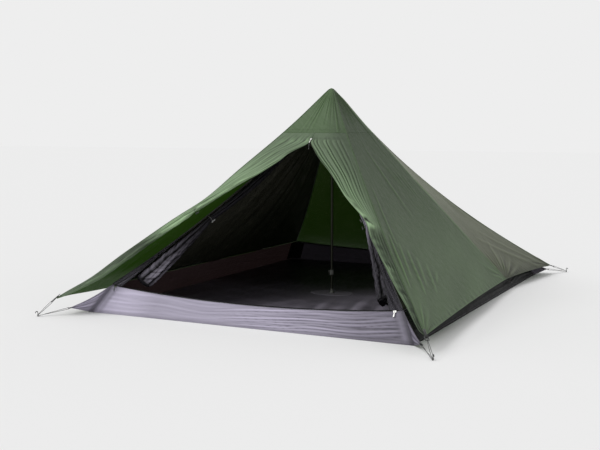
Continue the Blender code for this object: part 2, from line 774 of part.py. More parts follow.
def build_mesh_rolls(ribs):
    """Both halves of the inner door rolled up along the front ridges, with their long folds."""
    for name, side in (("mesh_roll_left", -1), ("mesh_roll_right", 1)):
        rings = []
        tie = (ROLL_LOW_SHARE - ROLL_TIE_SHARE) / (ROLL_LOW_SHARE - ROLL_TOP_SHARE)
        shares = [tie * ring / ROLL_LOW_RINGS for ring in range(ROLL_LOW_RINGS)]
        shares += [tie + (1 - tie) * ring / ROLL_HIGH_RINGS for ring in range(ROLL_HIGH_RINGS + 1)]
        for share in shares:
            place, radius = roll_frame(ribs, side, share)
            points = []
            for turn in range(ROLL_SIDES):
                angle = 2 * math.pi * turn / ROLL_SIDES
                wave = math.cos(ROLL_FOLDS * angle)
                reach = radius * (1 - ROLL_FOLD_DEPTH_SHARE * (0.5 - 0.5 * wave))
                points.append(place @ Vector((0, reach * math.sin(angle), reach * math.cos(angle))))
            rings.append(points)
        add_object(name, ring_mesh(rings), (MESH_DARK,))


def build_pole():
    """The adjustable centre pole, its clamp, foot and tip."""
    floor_top = FLOOR_THICKNESS + 2 * RUNNING_GAP + PATCH_THICKNESS
    tip_base = PEAK_HEIGHT - CUP_TOP_DROP - CUP_WALL - RUNNING_GAP - TIP_DOME_HEIGHT - TIP_COLLAR_HEIGHT
    upper = [(POLE_RADIUS, POLE_UPPER_START), (POLE_RADIUS, tip_base - RUNNING_GAP),
             (POLE_BORE_RADIUS, tip_base - RUNNING_GAP), (POLE_BORE_RADIUS, POLE_UPPER_START)]
    add_object("pole_upper_tube", turned_mesh(upper, AXIS, hollow=True), (ALUMINIUM, METAL_ROUGHNESS, 1.0))
    foot_floor = floor_top + FOOT_FLARE_HEIGHT
    lower = [(LOWER_RADIUS, foot_floor + RUNNING_GAP), (LOWER_RADIUS, LOWER_TUBE_REACH),
             (LOWER_BORE_RADIUS, LOWER_TUBE_REACH), (LOWER_BORE_RADIUS, foot_floor + RUNNING_GAP)]
    add_object("pole_lower_tube", turned_mesh(lower, AXIS, hollow=True), (ALUMINIUM, METAL_ROUGHNESS, 1.0))
    socket = LOWER_RADIUS + RUNNING_GAP
    foot = [(FOOT_RADIUS, floor_top), (FOOT_RADIUS, floor_top + FOOT_FLARE_HEIGHT / 2),
            (FOOT_NECK_RADIUS, floor_top + FOOT_FLARE_HEIGHT * 2), (FOOT_NECK_RADIUS, floor_top + FOOT_HEIGHT),
            (socket, floor_top + FOOT_HEIGHT), (socket, foot_floor)]
    add_object("pole_foot", turned_mesh(foot, AXIS), (PLASTIC_DARK, PLASTIC_ROUGHNESS))
    plug = POLE_BORE_RADIUS - RUNNING_GAP
    dome = [(plug, tip_base - TIP_PLUG_LENGTH), (plug, tip_base), (POLE_RADIUS, tip_base),
            (POLE_RADIUS, tip_base + TIP_COLLAR_HEIGHT)]
    for step in range(1, ARC_POINTS):
        turn = math.pi / 2 * step / ARC_POINTS
        dome.append((POLE_RADIUS * math.cos(turn), tip_base + TIP_COLLAR_HEIGHT + TIP_DOME_HEIGHT * math.sin(turn)))
    add_object("pole_tip", turned_mesh(dome, AXIS), (PLASTIC_DARK, PLASTIC_ROUGHNESS))
    build_collar()


def lever_pivot():
    """The centre of the lever's pin, on the collar's left side."""
    return AXIS - RIGHT * (COLLAR_RADIUS + LEVER_STAND) + UP * PIN_HEIGHT


def build_collar():
    """The clamp collar with its two ears and pin, and the cam lever that turns on the pin."""
    low, high = COLLAR_START, COLLAR_START + COLLAR_HEIGHT
    grip = POLE_RADIUS + RUNNING_GAP
    throat = LOWER_RADIUS + RUNNING_GAP
    wide = COLLAR_RADIUS + COLLAR_LIP
    lip = COLLAR_LIP
    stop = POLE_UPPER_START - RUNNING_GAP
    profile = [(COLLAR_RADIUS, low), (wide, low + lip), (COLLAR_RADIUS, low + 2 * lip),
               (COLLAR_RADIUS, high - lip), (COLLAR_RADIUS - lip / 2, high), (grip, high), (grip, stop),
               (throat, stop), (throat, low)]
    collar = add_object("pole_collar", turned_mesh(profile, AXIS, hollow=True), (PLASTIC_DARK, PLASTIC_ROUGHNESS))
    pivot = lever_pivot()
    spread = LEVER_WIDTH / 2 + RUNNING_GAP + LEVER_EAR_WIDTH / 2
    sunk = (COLLAR_RADIUS - grip) / 2
    for name, side in (("collar_ear_front", -1), ("collar_ear_back", 1)):
        reach = LEVER_STAND + sunk
        outline = [(reach, -LEVER_EAR_RADIUS), (reach, LEVER_EAR_RADIUS)]
        for step in range(ARC_POINTS + 1):
            turn = math.pi / 2 + math.pi * step / ARC_POINTS
            outline.append((LEVER_EAR_RADIUS * math.cos(turn), LEVER_EAR_RADIUS * math.sin(turn)))
        stand = Matrix.Translation(pivot + BACK * side * spread) @ Matrix.Rotation(math.pi / 2, 4, "X")
        join(collar, name, outline_mesh(outline, LEVER_EAR_WIDTH, stand))
    half = spread + LEVER_EAR_WIDTH / 2 + LEVER_EAR_WIDTH / 4
    pin = turned_mesh([(LEVER_PIN_RADIUS, -half), (LEVER_PIN_RADIUS, half)], Vector(), sides=ROUND_SIDES // 2)
    pin.transform(Matrix.Translation(pivot) @ Matrix.Rotation(math.pi / 2, 4, "X"))
    join(collar, "collar_pin", pin)
    build_lever(pivot)


def build_lever(pivot):
    """The cam lever: a bored cam and a thumb plate hanging down beside the collar."""
    outline = []
    for step in range(2 * ARC_POINTS + 1):
        turn = math.pi * step / (2 * ARC_POINTS)
        outline.append((LEVER_CAM_RADIUS * math.cos(turn), LEVER_CAM_RADIUS * math.sin(turn)))
    inner = -LEVER_CAM_RADIUS + LEVER_THICKNESS
    outline += [(-LEVER_CAM_RADIUS, -LEVER_LENGTH + LEVER_LIP), (-LEVER_CAM_RADIUS - LEVER_LIP, -LEVER_LENGTH),
                (inner - LEVER_LIP, -LEVER_LENGTH), (inner, -LEVER_LENGTH + 2 * LEVER_LIP),
                (inner, -LEVER_CAM_RADIUS * LEVER_SHOULDER_SHARE), (LEVER_CAM_RADIUS, -LEVER_LIP)]
    stand = Matrix.Rotation(math.pi / 2, 4, "X")
    lever = outline_mesh(outline, LEVER_WIDTH, stand)
    obj = add_object("pole_lever", lever, (PLASTIC_DARK, PLASTIC_ROUGHNESS))
    obj.location = pivot
    bore = LEVER_PIN_RADIUS + RUNNING_GAP
    hole = turned_mesh([(bore, -LEVER_WIDTH), (bore, LEVER_WIDTH)], Vector(), sides=ROUND_SIDES // 2)
    hole.transform(stand)
    cut(obj, "lever_bore", hole)


def build_peak_cup(ribs):
    """The reinforced cup sewn under the cap, which the pole tip stands in."""
    order = ("front_left", "front_right", "side_right", "back_right", "back_middle", "back_left", "side_left")
    rings = []
    lay = FLY_THICKNESS + RUNNING_GAP
    for depth in (CUP_TOP_DROP, CUP_TOP_DROP + CUP_DEPTH / 2, CUP_TOP_DROP + CUP_DEPTH):
        ring = []
        for name in order:
            rib = ribs[name]
            ring.append(rib.at(rib.share_at_height(PEAK_HEIGHT - depth + lay)) - UP * lay)
        rings.append(ring)
    cup = add_object("peak_cup", ring_mesh(rings, smooth=False), (PLASTIC_DARK,))
    bore = POLE_RADIUS + RUNNING_GAP
    top = PEAK_HEIGHT - CUP_TOP_DROP - CUP_WALL
    low = PEAK_HEIGHT - CUP_TOP_DROP - CUP_DEPTH - OVERRUN
    cut(cup, "cup_bore", turned_mesh([(bore, low), (bore, top)], AXIS))


def build_hanger():
    """The strap that hangs the inner tent's peak from the cup, off to the pole's rear."""
    top = PEAK_HEIGHT - CUP_TOP_DROP - CUP_DEPTH - RUNNING_GAP
    out = HANGER_OFFSET
    start = AXIS + BACK * out + UP * top
    low = inner_top_height()
    stop = AXIS + BACK * out + UP * low
    tube = turned_mesh([(HANGER_RADIUS, 0), (HANGER_RADIUS, (start - stop).length)], stop, sides=ROUND_SIDES // 2)
    add_object("peak_hanger", tube, (CORD_DARK,))


def inner_top_height():
    """The height of the back mesh wall's top edge, where the hanger holds it."""
    ribs = inner_ribs()
    rib = ribs["back_left"]
    point = rib.at(INNER_START_SHARE)
    return point.z + MESH_THICKNESS + SEAM_GAP + RUNNING_GAP + TOP_EDGE_RISE


def cord_object(name, points, radius, colour, cyclic=False, roundness=1):
    """A cord or wire as a round tube along a row of points."""
    curve = bpy.data.curves.new(name, "CURVE")
    curve.dimensions = "3D"
    curve.bevel_depth = radius
    curve.bevel_resolution = roundness
    curve.use_fill_caps = not cyclic
    spline = curve.splines.new("POLY")
    spline.points.add(len(points) - 1)
    for slot, point in zip(spline.points, points):
        slot.co = (*point, 1)
    spline.use_cyclic_u = cyclic
    return add_object(name, curve, (colour,))


def twisted_loop(bar, bar_radius, bar_across, shank, shank_radius, spin):
    """A closed loop round a buckle's bar at one end and round a peg's upright shank at the other."""
    along = (shank - bar).normalized()
    level = Vector((along.x, along.y, 0)).normalized()
    side = UP.cross(level) * spin
    above = bar_across.cross(along).normalized()
    if above.z < 0:
        above = -above
    strand = []
    for step in range(LOOP_POINTS):
        share = step / (LOOP_POINTS - 1)
        turn = share * math.pi / 2
        offset = above * math.cos(turn) + side * math.sin(turn)
        radius = bar_radius + (shank_radius - bar_radius) * share
        strand.append((bar.lerp(shank, share), offset * radius))
    points = [centre + offset for centre, offset in strand]
    for step in range(1, ARC_POINTS):
        turn = math.pi * step / ARC_POINTS
        points.append(shank + side * shank_radius * math.cos(turn) + level * shank_radius * math.sin(turn))
    points += [centre - offset for centre, offset in reversed(strand)]
    for step in range(1, ARC_POINTS):
        turn = math.pi * step / ARC_POINTS
        points.append(bar - above * bar_radius * math.cos(turn) - along * bar_radius * math.sin(turn))
    return points


def build_buckle(name, seat, along, length, width):
    """A two-slot buckle lying on the line to the peg, and the centre of its outer bar."""
    place = frame_along(seat + along * (length / 2 + RUNNING_GAP), along)
    buckle = add_object(name, box_mesh((length, width, BUCKLE_THICKNESS), place), (PLASTIC_DARK, PLASTIC_ROUGHNESS))
    slot = (length - 3 * BUCKLE_BAR) / 2
    for index, shift in (("inner", -1), ("outer", 1)):
        centre = place @ Vector((shift * (slot + BUCKLE_BAR) / 2, 0, 0))
        stand = place.copy()
        stand.translation = centre
        size = (slot, width - 2 * BUCKLE_BAR, BUCKLE_THICKNESS + OVERRUN)
        cut(buckle, name + "_slot_" + index, box_mesh(size, stand))
    round_edges(buckle, BUCKLE_ROUND, 1)
    across = (place.to_3x3() @ BACK).normalized()
    bar = place @ Vector((length / 2 - BUCKLE_BAR / 2, 0, 0))
    return bar, across


def build_corners(ribs):
    """Pegs, buckles and cord loops at the four corners."""
    loop_radius = math.hypot(BUCKLE_THICKNESS, BUCKLE_BAR) / 2 + RUNNING_GAP + CORD_RADIUS
    shank_radius = PEG_RADIUS + RUNNING_GAP + CORD_RADIUS
    for side, end, name in ((-1, -1, "front_left"), (1, -1, "front_right"), (1, 1, "back_right"), (-1, 1, "back_left")):
        peg = Vector((side * PEG_HALF_WIDTH, end * PEG_HALF_DEPTH, 0))
        foot = ribs[name].foot - UP * FLY_THICKNESS / 2
        high = peg + UP * (CORD_LIFT + CORD_SPACING)
        along = (high - foot).normalized()
        seat = foot + along * FLY_BUCKLE_OFF
        bar, across = build_buckle("fly_buckle_" + name, seat, along, BUCKLE_LENGTH, BUCKLE_WIDTH)
        points = twisted_loop(bar, loop_radius, across, high, shank_radius, side)
        cord_object("fly_cord_" + name, points, CORD_RADIUS, CORD_DARK, cyclic=True)
        low = peg + UP * CORD_LIFT
        tip = ear_tip(side, end) + UP * EAR_TIP_WIDTH / 2
        along = (low - tip).normalized()
        seat = tip + along * EAR_BUCKLE_OFF
        bar, across = build_buckle("inner_buckle_" + name, seat, along, HOOK_LENGTH, HOOK_WIDTH)
        points = twisted_loop(bar, loop_radius, across, low, shank_radius, -side)
        cord_object("inner_cord_" + name, points, CORD_RADIUS, CORD_GREY, cyclic=True)
        build_peg("peg_" + name, peg)


def build_peg(name, foot):
    """The part of a hooked wire peg that stands above the ground."""
    out = -inward(foot)
    points = [foot, foot + UP * PEG_STAND / 2, foot + UP * PEG_STAND]
    centre = foot + UP * PEG_STAND + out * PEG_HOOK_RADIUS
    steps = 2 * ARC_POINTS
    for step in range(1, steps + 1):
        turn = math.pi - PEG_HOOK_TURN * step / steps
        points.append(centre + out * PEG_HOOK_RADIUS * math.cos(turn) + UP * PEG_HOOK_RADIUS * math.sin(turn))
    cord_object(name, points, PEG_RADIUS, STEEL)


def build_hem_ties(ribs):
    """The short ties from the middle of the side hems down to the bathtub's foot."""
    for side, name in ((-1, "left"), (1, "right")):
        foot = ribs["side_" + name].foot
        start = foot - UP * (FLY_THICKNESS + RUNNING_GAP + TIE_RADIUS)
        wide = INNER_HALF_WIDTH + RUNNING_GAP + 2 * TIE_RADIUS
        stop = Vector((side * wide, foot.y + HEM_TIE_BACK, 2 * TIE_RADIUS))
        middle = start.lerp(stop, 0.5)
        cord_object("hem_tie_" + name, [start, middle, stop], TIE_RADIUS, CORD_DARK)


def build_slider(name, seat, outward, along, axis):
    """A zip slider lying on the cloth, with the bridge along the axis that its pull turns about."""
    place = frame_along(seat + outward * (SLIDER_OFF_CLOTH + SLIDER_THICKNESS / 2), along, outward)
    nose, tail = SLIDER_LENGTH / 2, -SLIDER_LENGTH / 2
    wide, thin = SLIDER_WIDTH / 2, SLIDER_WIDTH / 3
    outline = [(nose, wide), (0, wide), (tail, thin), (tail, -thin), (0, -wide), (nose, -wide)]
    slider = add_object(name, outline_mesh(outline, SLIDER_THICKNESS, place), (STEEL, METAL_ROUGHNESS, 1.0))
    stand = frame_along(place.translation, axis, outward)
    base, high = SLIDER_THICKNESS / 2 - BRIDGE_RADIUS, SLIDER_THICKNESS / 2 + BRIDGE_STAND
    arch = ((-BRIDGE_HALF_SPAN, base, 0), (-BRIDGE_HALF_SPAN, high, -1), (BRIDGE_HALF_SPAN, high, 1),
            (BRIDGE_HALF_SPAN, base, 0))
    rings = []
    for x, z, slant in arch:
        ring = []
        for side in range(BRIDGE_SIDES):
            angle = 2 * math.pi * side / BRIDGE_SIDES
            offset, level = BRIDGE_RADIUS * math.cos(angle), BRIDGE_RADIUS * math.sin(angle)
            ring.append(stand @ Vector((x + offset, level, z + offset * slant)))
        rings.append(ring)
    join(slider, name + "_bridge", ring_mesh(rings))
    return stand @ (UP * high)


def build_pull(name, pivot, axis, hang):
    """A pull tab on a slider's bridge: an eye, a waist and a wider holed end."""
    place = frame_along(Vector(), hang, hang.cross(axis))
    eye = BRIDGE_RADIUS + PULL_EYE_GAP
    rim = eye + BRIDGE_RADIUS
    wide, waist = PULL_TIP_WIDTH / 2, PULL_WIDTH / 2
    shoulder = PULL_LENGTH * PULL_SHOULDER_SHARE
    outline = [(0, -waist), (PULL_LENGTH / 2, -waist), (shoulder, -wide), (PULL_LENGTH, -wide / 2),
               (PULL_LENGTH, wide / 2), (shoulder, wide), (PULL_LENGTH / 2, waist), (0, waist)]
    pull = add_object(name, outline_mesh(outline, PULL_THICKNESS, place), (STEEL, METAL_ROUGHNESS, 1.0))
    pull.location = pivot
    across = place @ Matrix.Rotation(math.pi / 2, 4, "X")
    barrel = turned_mesh([(rim, -waist), (rim, waist)], Vector(), sides=ROUND_SIDES // 2)
    barrel.transform(across)
    join(pull, name + "_barrel", barrel)
    bore = turned_mesh([(eye, -PULL_WIDTH), (eye, PULL_WIDTH)], Vector(), sides=ROUND_SIDES // 2)
    bore.transform(across)
    cut(pull, name + "_eye", bore)
    hole = turned_mesh([(CORD_HOLE_RADIUS, -PULL_THICKNESS), (CORD_HOLE_RADIUS, PULL_THICKNESS)], Vector(),
                       sides=ROUND_SIDES // 2)
    hole.transform(place @ Matrix.Translation(RIGHT * PULL_LENGTH * PULL_HOLE_SHARE))
    cut(pull, name + "_hole", hole)


def build_zips(fly):
    """The fly's zip slider at the top of the opening, and the two sliders on the bathtub's front edge."""
    high = front_point(fly, 0, 0.5)
    low = front_point(fly, ZIP_END_DOWN_SHARE, 0.5)
    fall = (low - high).normalized()
    pivot = build_slider("door_zip_slider", low, fall.cross(RIGHT), -fall, RIGHT)
    build_pull("door_zip_pull", pivot, RIGHT, fall)
    start = pivot + fall * (PULL_LENGTH + RUNNING_GAP)
    bend = start + fall * PULL_CORD_LENGTH * PULL_CORD_BEND_SHARE
    stop = bend - UP * PULL_CORD_LENGTH * (1 - PULL_CORD_BEND_SHARE)
    shares = [step / PULL_CORD_STEPS for step in range(PULL_CORD_STEPS + 1)]
    points = [start.lerp(bend, share).lerp(bend.lerp(stop, share), share) for share in shares]
    cord_object("door_zip_cord", points, PULL_CORD_RADIUS, CORD_GREY, roundness=2)
    for name, across in (("left", MESH_SLIDER_ACROSS_SHARE), ("right", 1 - MESH_PULL_ACROSS_SHARE)):
        top = tub_edge((-1, -1), (1, -1), across)
        foot = tub_edge((-1, -1), (1, -1), across, 0)
        fall = Vector((0, foot.y - top.y, foot.z - top.z)).normalized()
        seat = top + fall * (SLIDER_WIDTH / 2 + BRIDGE_RADIUS)
        pivot = build_slider("mesh_slider_" + name, seat, fall.cross(RIGHT), RIGHT, RIGHT)
        build_pull("mesh_pull_" + name, pivot, RIGHT, fall)


def door_edge_point(ribs, shares, down):
    """A point of a door half's free edge, between the rows of its cloth."""
    row = min(int(down * DOOR_ROWS), DOOR_ROWS - 1)
    ends = [front_point(ribs, step / DOOR_ROWS, smooth_through(shares, step / DOOR_ROWS)) for step in (row, row + 1)]
    return ends[0].lerp(ends[1], down * DOOR_ROWS - row), (ends[0] - ends[1]).normalized()


def build_toggles(fly, inner):
    """The toggles at the tied places of the fly's door halves and of the inner door's rolls."""
    for name, down, shares, side in (("door_toggle_left", LEFT_TOGGLE_DOWN_SHARE, LEFT_EDGE_SHARES, 1),
                                     ("door_toggle_right", TOGGLE_DOWN_SHARE, RIGHT_EDGE_SHARES, -1)):
        point, edge = door_edge_point(fly, shares, down)
        stem = edge.cross(RIGHT).cross(edge) * side
        build_toggle(name, point - UP * FLY_THICKNESS / 2 + stem.normalized() * TOGGLE_HEM_OFF, stem, edge)
    tie = (ROLL_LOW_SHARE - ROLL_TIE_SHARE) / (ROLL_LOW_SHARE - ROLL_TOP_SHARE)
    for name, side in (("mesh_toggle_left", -1), ("mesh_toggle_right", 1)):
        place, radius = roll_frame(inner, side, tie)
        facing = place.to_3x3()
        stem = facing @ UP
        build_toggle(name, place.translation + stem * radius, stem, facing @ RIGHT)


def main():
    clear_scene()
    fly, inner = fly_ribs(), inner_ribs()
    build_peak_cap(fly)
    build_fly_panels(fly)
    build_doors(fly)
    build_tub()
    build_floor()
    build_mesh_walls(inner)
    build_mesh_strips(inner)
    build_mesh_rolls(inner)
    build_peak_cup(fly)
    build_hanger()
    build_pole()
    build_corners(fly)
    build_hem_ties(fly)
    build_zips(fly)
    build_toggles(fly, inner)


main()
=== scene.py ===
"""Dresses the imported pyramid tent: taut cloth, mesh, cords, zips and pole, on a pale studio floor."""
from __future__ import annotations

import logging
import math
from dataclasses import dataclass, field
from enum import Enum
from typing import Callable, Sequence

import bmesh
import bpy
import numpy as np
from mathutils import Euler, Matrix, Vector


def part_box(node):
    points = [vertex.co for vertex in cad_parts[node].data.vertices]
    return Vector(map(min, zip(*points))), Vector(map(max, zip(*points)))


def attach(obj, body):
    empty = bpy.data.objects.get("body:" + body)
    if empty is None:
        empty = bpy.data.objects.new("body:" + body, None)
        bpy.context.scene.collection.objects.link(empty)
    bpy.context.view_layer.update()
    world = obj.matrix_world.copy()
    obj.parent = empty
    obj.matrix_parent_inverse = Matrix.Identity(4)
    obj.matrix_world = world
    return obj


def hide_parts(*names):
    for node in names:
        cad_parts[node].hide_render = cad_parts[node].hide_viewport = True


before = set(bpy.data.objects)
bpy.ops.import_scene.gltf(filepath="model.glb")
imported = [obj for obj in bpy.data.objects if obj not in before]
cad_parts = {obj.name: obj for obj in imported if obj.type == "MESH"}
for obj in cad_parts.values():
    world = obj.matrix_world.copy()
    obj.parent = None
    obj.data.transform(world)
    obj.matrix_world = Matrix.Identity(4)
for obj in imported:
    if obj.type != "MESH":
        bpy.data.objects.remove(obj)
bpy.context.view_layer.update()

LOG = logging.getLogger("pyramid_tent")
Array = np.ndarray
Triple = tuple[float, float, float]
Curve = Sequence[tuple[float, float]]
Corner = tuple[int, int]
Pair = tuple[Array, Array]
Piece = bpy.types.Object

# Pitch of the tent, in metres or as shares of the way down, as in the CAD model
PEAK_HEIGHT = 1.5
POLE_FORWARD = 0.096
FLY_THICKNESS = 0.003
MESH_THICKNESS = 0.0025
SEAM_GAP = 0.0004
THREAD_LIFT = 0.0002
FLY_CLOTH = 0.0008
TUB_CLOTH = 0.0007
FLOOR_CLOTH = 0.0006
BAND_CLOTH = 0.0005
MESH_CLOTH = 0.0003
CREST_HEIGHT = 0.0022
CAP_DEPTH = 0.31
CROWN_START = 0.006
CROWN_REACH = 0.12
TUB_HEIGHT = 0.175
TUB_LEAN = 0.1
TUB_SAG = 0.045
INNER_HALF = (1.1325, 1.467)
PEG = (1.34, 1.7475)
DOOR_CORNER = 0.985
TOGGLE_DOWN = 0.472
LEFT_TIE_DOWN = 0.47
DOOR_END = 1.017
STRIP_TOP = 0.66
STRIP_ACROSS = 0.043
STRIP_TIP = 0.12
RUNNING_GAP = 0.0003
CORD_RADIUS = 0.0014
CORD_LIFT = 0.0045
CORD_SPACING = 0.006
PEG_RADIUS = 0.0025
BUCKLE_LENGTH = 0.032
HOOK_LENGTH = 0.022
BUCKLE_BAR = 0.0042
EAR_REACH = 0.129
EAR_TIP_HEIGHT = 0.036
EAR_TIP_WIDTH = 0.008
ZIP_PIVOT = (0.0, -0.45368, 1.14024)
PULL_LENGTH = 0.034
PULL_CORD_LENGTH = 0.045
CUP_DEPTHS = (0.020, 0.0475, 0.075)
HANGER_BACK = 0.030
HANGER_LENGTH = 0.0683

# Bounds of a sheet's area as shares of its flat rectangle
LEAST_AREA = 0.301
MOST_AREA = 0.999

AXIS = np.array([0.0, -POLE_FORWARD, 0.0])
UP = np.array([0.0, 0.0, 1.0])
RIGHT = np.array([1.0, 0.0, 0.0])
BACK = np.array([0.0, 1.0, 0.0])

# Door opening: down share below the cap, across share from the left ridge to the right one
DOOR_EDGE = {"left": ((0, 0.499), (0.04, 0.499), (0.0556, 0.497), (0.115, 0.345), (0.17, 0.28),
                      (0.24, 0.206), (0.314, 0.134), (0.437, 0.078), (0.543, 0.062), (0.65, 0.05),
                      (0.75, 0.05), (0.85, 0.047), (0.94, 0.034), (1, 0.016), (1.02, 0.004)),
             "right": ((0, 0.501), (0.04, 0.501), (0.0556, 0.503), (0.115, 0.605), (0.233, 0.771),
                       (0.358, 0.861), (0.472, 0.934), (0.56, 0.94), (0.633, 0.95), (0.712, 0.96),
                       (0.808, 0.97), (0.9, 0.98), (1, 0.988), (1.02, 0.996))}

# A corner strap round the buckle's bar, as (ahead of its corner, above it)
STRAP_WRAP = ((-0.045, 0.0), (-0.006, 0.0018), (0.0012, 0.0031), (0.0045, 0.0031), (0.0058, 0.0),
              (0.0045, -0.0031), (0.0012, -0.0031), (-0.006, -0.0018), (-0.030, -0.001))

# Painted shade of a point neither on a crest nor in a hollow: crest share and painted light level
PLAIN = (0.5, 1.0)

# Painted light and shade on the cloth, as (share of the way down or along, level): the level multiplies the
# cloth's colour, lighter where light falls and darker where shade falls
SIDE_PAINTED_LIGHT = ((0, 0.44), (0.2, 0.50), (0.45, 0.56), (0.75, 0.72), (1, 0.74))
REAR_PAINTED_LIGHT = ((0, 1.25), (0.3, 1.2), (0.5, 1.0), (0.8, 0.85), (0.93, 0.72), (1, 0.45))
DOOR_PAINTED_LIGHT = {"left": ((0, 0.84), (0.12, 0.96), (0.25, 1.5), (0.36, 1.6), (0.45, 1.2), (0.55, 2), (0.6, 1.1),
                      (0.68, 0.3), (0.8, 0.52), (1, 0.7)),
             "right": ((0, 0.72), (0.2, 0.9), (0.36, 1.2), (0.5, 1.3), (0.54, 0.6), (0.62, 0.42),
                       (0.75, 0.6), (0.9, 0.4), (1, 0.28))}
CAP_PAINTED_LIGHT = ((0, 0.76), (0.6, 0.74), (0.85, 0.54), (1, 0.46))
ROLL_PAINTED_LIGHT = {-1: ((0, 0.7), (0.06, 1.6), (0.18, 0.9), (0.3, 0.35), (0.42, 0.12), (1, 0.06)),
             1: ((0, 0.14), (0.08, 0.3), (0.16, 0.3), (0.3, 0.4), (0.45, 1.8), (1, 0.5))}
STRIP_PAINTED_LIGHT = {-1: ((0.66, 0.4), (0.85, 1.0), (0.9, 2.2), (1, 2.6)), 1: ((0.66, 0.5), (1, 1.0))}
TUB_PAINTED_LIGHT = ((0, 1.2), (0.04, 1.75), (0.1, 1.4), (0.2, 1.0), (0.62, 1.0), (0.74, 0.86), (0.86, 0.58), (1, 0.5))
FLOOR_PAINTED_LIGHT = ((0, 2.4), (0.2, 1.95), (0.34, 1.7), (0.44, 2.3), (0.6, 1.0), (1, 0.8))


def linear(*levels: float) -> Triple:
    """Turns a display colour's levels of 0 to 255 into linear light."""
    shares = [level / 255 for level in levels]
    return tuple(share / 12.92 if share <= 0.04045 else ((share + 0.055) / 1.055) ** 2.4 for share in shares)


def fade(value: Array, low: float, high: float) -> Array:
    """Rises smoothly from 0 at low to 1 at high."""
    share = np.clip((np.asarray(value, float) - low) / (high - low), 0, 1)
    return share * share * (3 - 2 * share)


def unit(vector: Array) -> Array:
    """The vector or vectors at length one."""
    return vector / np.maximum(np.linalg.norm(vector, axis=-1, keepdims=True), 1e-12)


def bell(value: Array, middle: float, width: float) -> Array:
    """A bump of height one round the middle."""
    return np.exp(-((value - middle) / width) ** 2)


def hump(share: Array) -> Array:
    """Rises from 0 to 1 at share 0.5 and falls back to 0 at share 1."""
    return np.sin(math.pi * share)


def circle(count: int) -> Array:
    """Angles spread evenly round a circle."""
    return np.linspace(0, 2 * math.pi, count, endpoint=False)


def round_loop(centre: Array, radius: float, first: Array, second: Array, count: int) -> Array:
    """A circle of points in the plane of two directions."""
    angle = circle(count)[:, None]
    return centre + radius * (first * np.cos(angle) + second * np.sin(angle))


def paired(first: Array, second: Array) -> Array:
    """A pair of values for each point of a grid, in a UV map's order."""
    return np.stack(np.broadcast_arrays(first, second), axis=-1).reshape(-1, 2)


def reach_along(path: Array) -> Array:
    """The distance from a path's start to each of its points."""
    return np.concatenate([[0], np.cumsum(np.linalg.norm(np.diff(path, axis=0), axis=1))])


def ring_faces(rings: int, sides: int, closed: bool = False) -> list[list[int]]:
    """The faces that join rings of points into a tube.

    Args:
        rings: how many rings.
        sides: points in each ring.
        closed: joins the last ring to the first, instead of a face over each end.

    Returns:
        The faces, as lists of point numbers.
    """
    index = np.arange(rings * sides).reshape(rings, sides)
    if closed:
        index = np.concatenate([index, index[:1]])
    beside = np.roll(index, -1, axis=1)
    faces = np.stack([index[:-1], beside[:-1], beside[1:], index[1:]], axis=-1).reshape(-1, 4).tolist()
    return faces if closed else faces + [index[0][::-1].tolist(), index[-1].tolist()]


def smooth_through(pairs: Curve, shares: Array) -> Array:
    """Reads a smooth curve through (share, value) pairs.

    Args:
        pairs: the known points, in order.
        shares: where to read the curve.

    Returns:
        The values there.
    """
    knots, values = np.transpose(pairs)
    index = np.clip(np.searchsorted(knots, shares, side="left") - 1, 0, len(knots) - 2)
    before, after = np.maximum(index - 1, 0), np.minimum(index + 2, len(knots) - 1)
    span = knots[index + 1] - knots[index]
    leave = (values[index + 1] - values[before]) / (knots[index + 1] - knots[before]) * span
    arrive = (values[after] - values[index]) / (knots[after] - knots[index]) * span
    t = (shares - knots[index]) / span
    return ((2 * t ** 3 - 3 * t ** 2 + 1) * values[index] + (t ** 3 - 2 * t ** 2 + t) * leave
            + (3 * t ** 2 - 2 * t ** 3) * values[index + 1] + (t ** 3 - t ** 2) * arrive)


def ripple(phase: Array, seed: int, waves: Curve) -> Array:
    """Adds waves of different lengths, each with its own start.

    Args:
        phase: the coordinate, one wave of frequency 1 per unit.
        seed: fixes the starts.
        waves: (frequency, weight) of each wave.

    Returns:
        A height of about -1 to 1.
    """
    starts = np.random.default_rng(seed).uniform(0, 2 * math.pi, len(waves))
    total = sum(weight * np.sin(2 * math.pi * frequency * phase + start)
                for (frequency, weight), start in zip(waves, starts))
    return total / sum(weight for _, weight in waves)


def sharp(wave: Array, power: float = 0.6) -> Array:
    """Turns a wave into narrow crests between wide hollows, as taut cloth creases."""
    lifted = np.clip(0.5 + 0.5 * wave, 0, 1)
    return lifted ** (1 / power)


@dataclass(frozen=True)
class Rib:
    """A taut line of cloth from a peak down to a point on the hem."""

    top: Triple
    foot: Triple
    bow: float
    easing: float = 0.0
    crown: float = 0.0
    dips: tuple[Triple, ...] = ()

    def at(self, share: Array | float) -> Array:
        """Points of the line.

        Args:
            share: shares of the way down, in any shape.

        Returns:
            One point for each share.
        """
        share = np.asarray(share, float)
        top, foot = np.array(self.top), np.array(self.foot)
        points = top + (foot - top) * share[..., None]
        fall = share + (self.bow + self.easing * share) * share * (1 - share)
        points[..., 2] = top[2] - (top[2] - foot[2]) * fall
        points[..., 2] += self.crown * (1 - np.exp(-share / CROWN_START)) * bell(share, 0, CROWN_REACH)
        return points

    def slack(self, share: Array) -> Array:
        """How far the cloth's fold drops below the line, as an upright vector for each share."""
        drop = sum(depth * bell(share, place, width) for place, depth, width in self.dips)
        return -UP * (drop + 0 * share)[..., None]

    def share_at(self, height: float) -> float:
        """The share at which the line passes a height."""
        shares = np.linspace(0, 1, 4001)
        return float(np.interp(-height, -self.at(shares)[:, 2], shares))


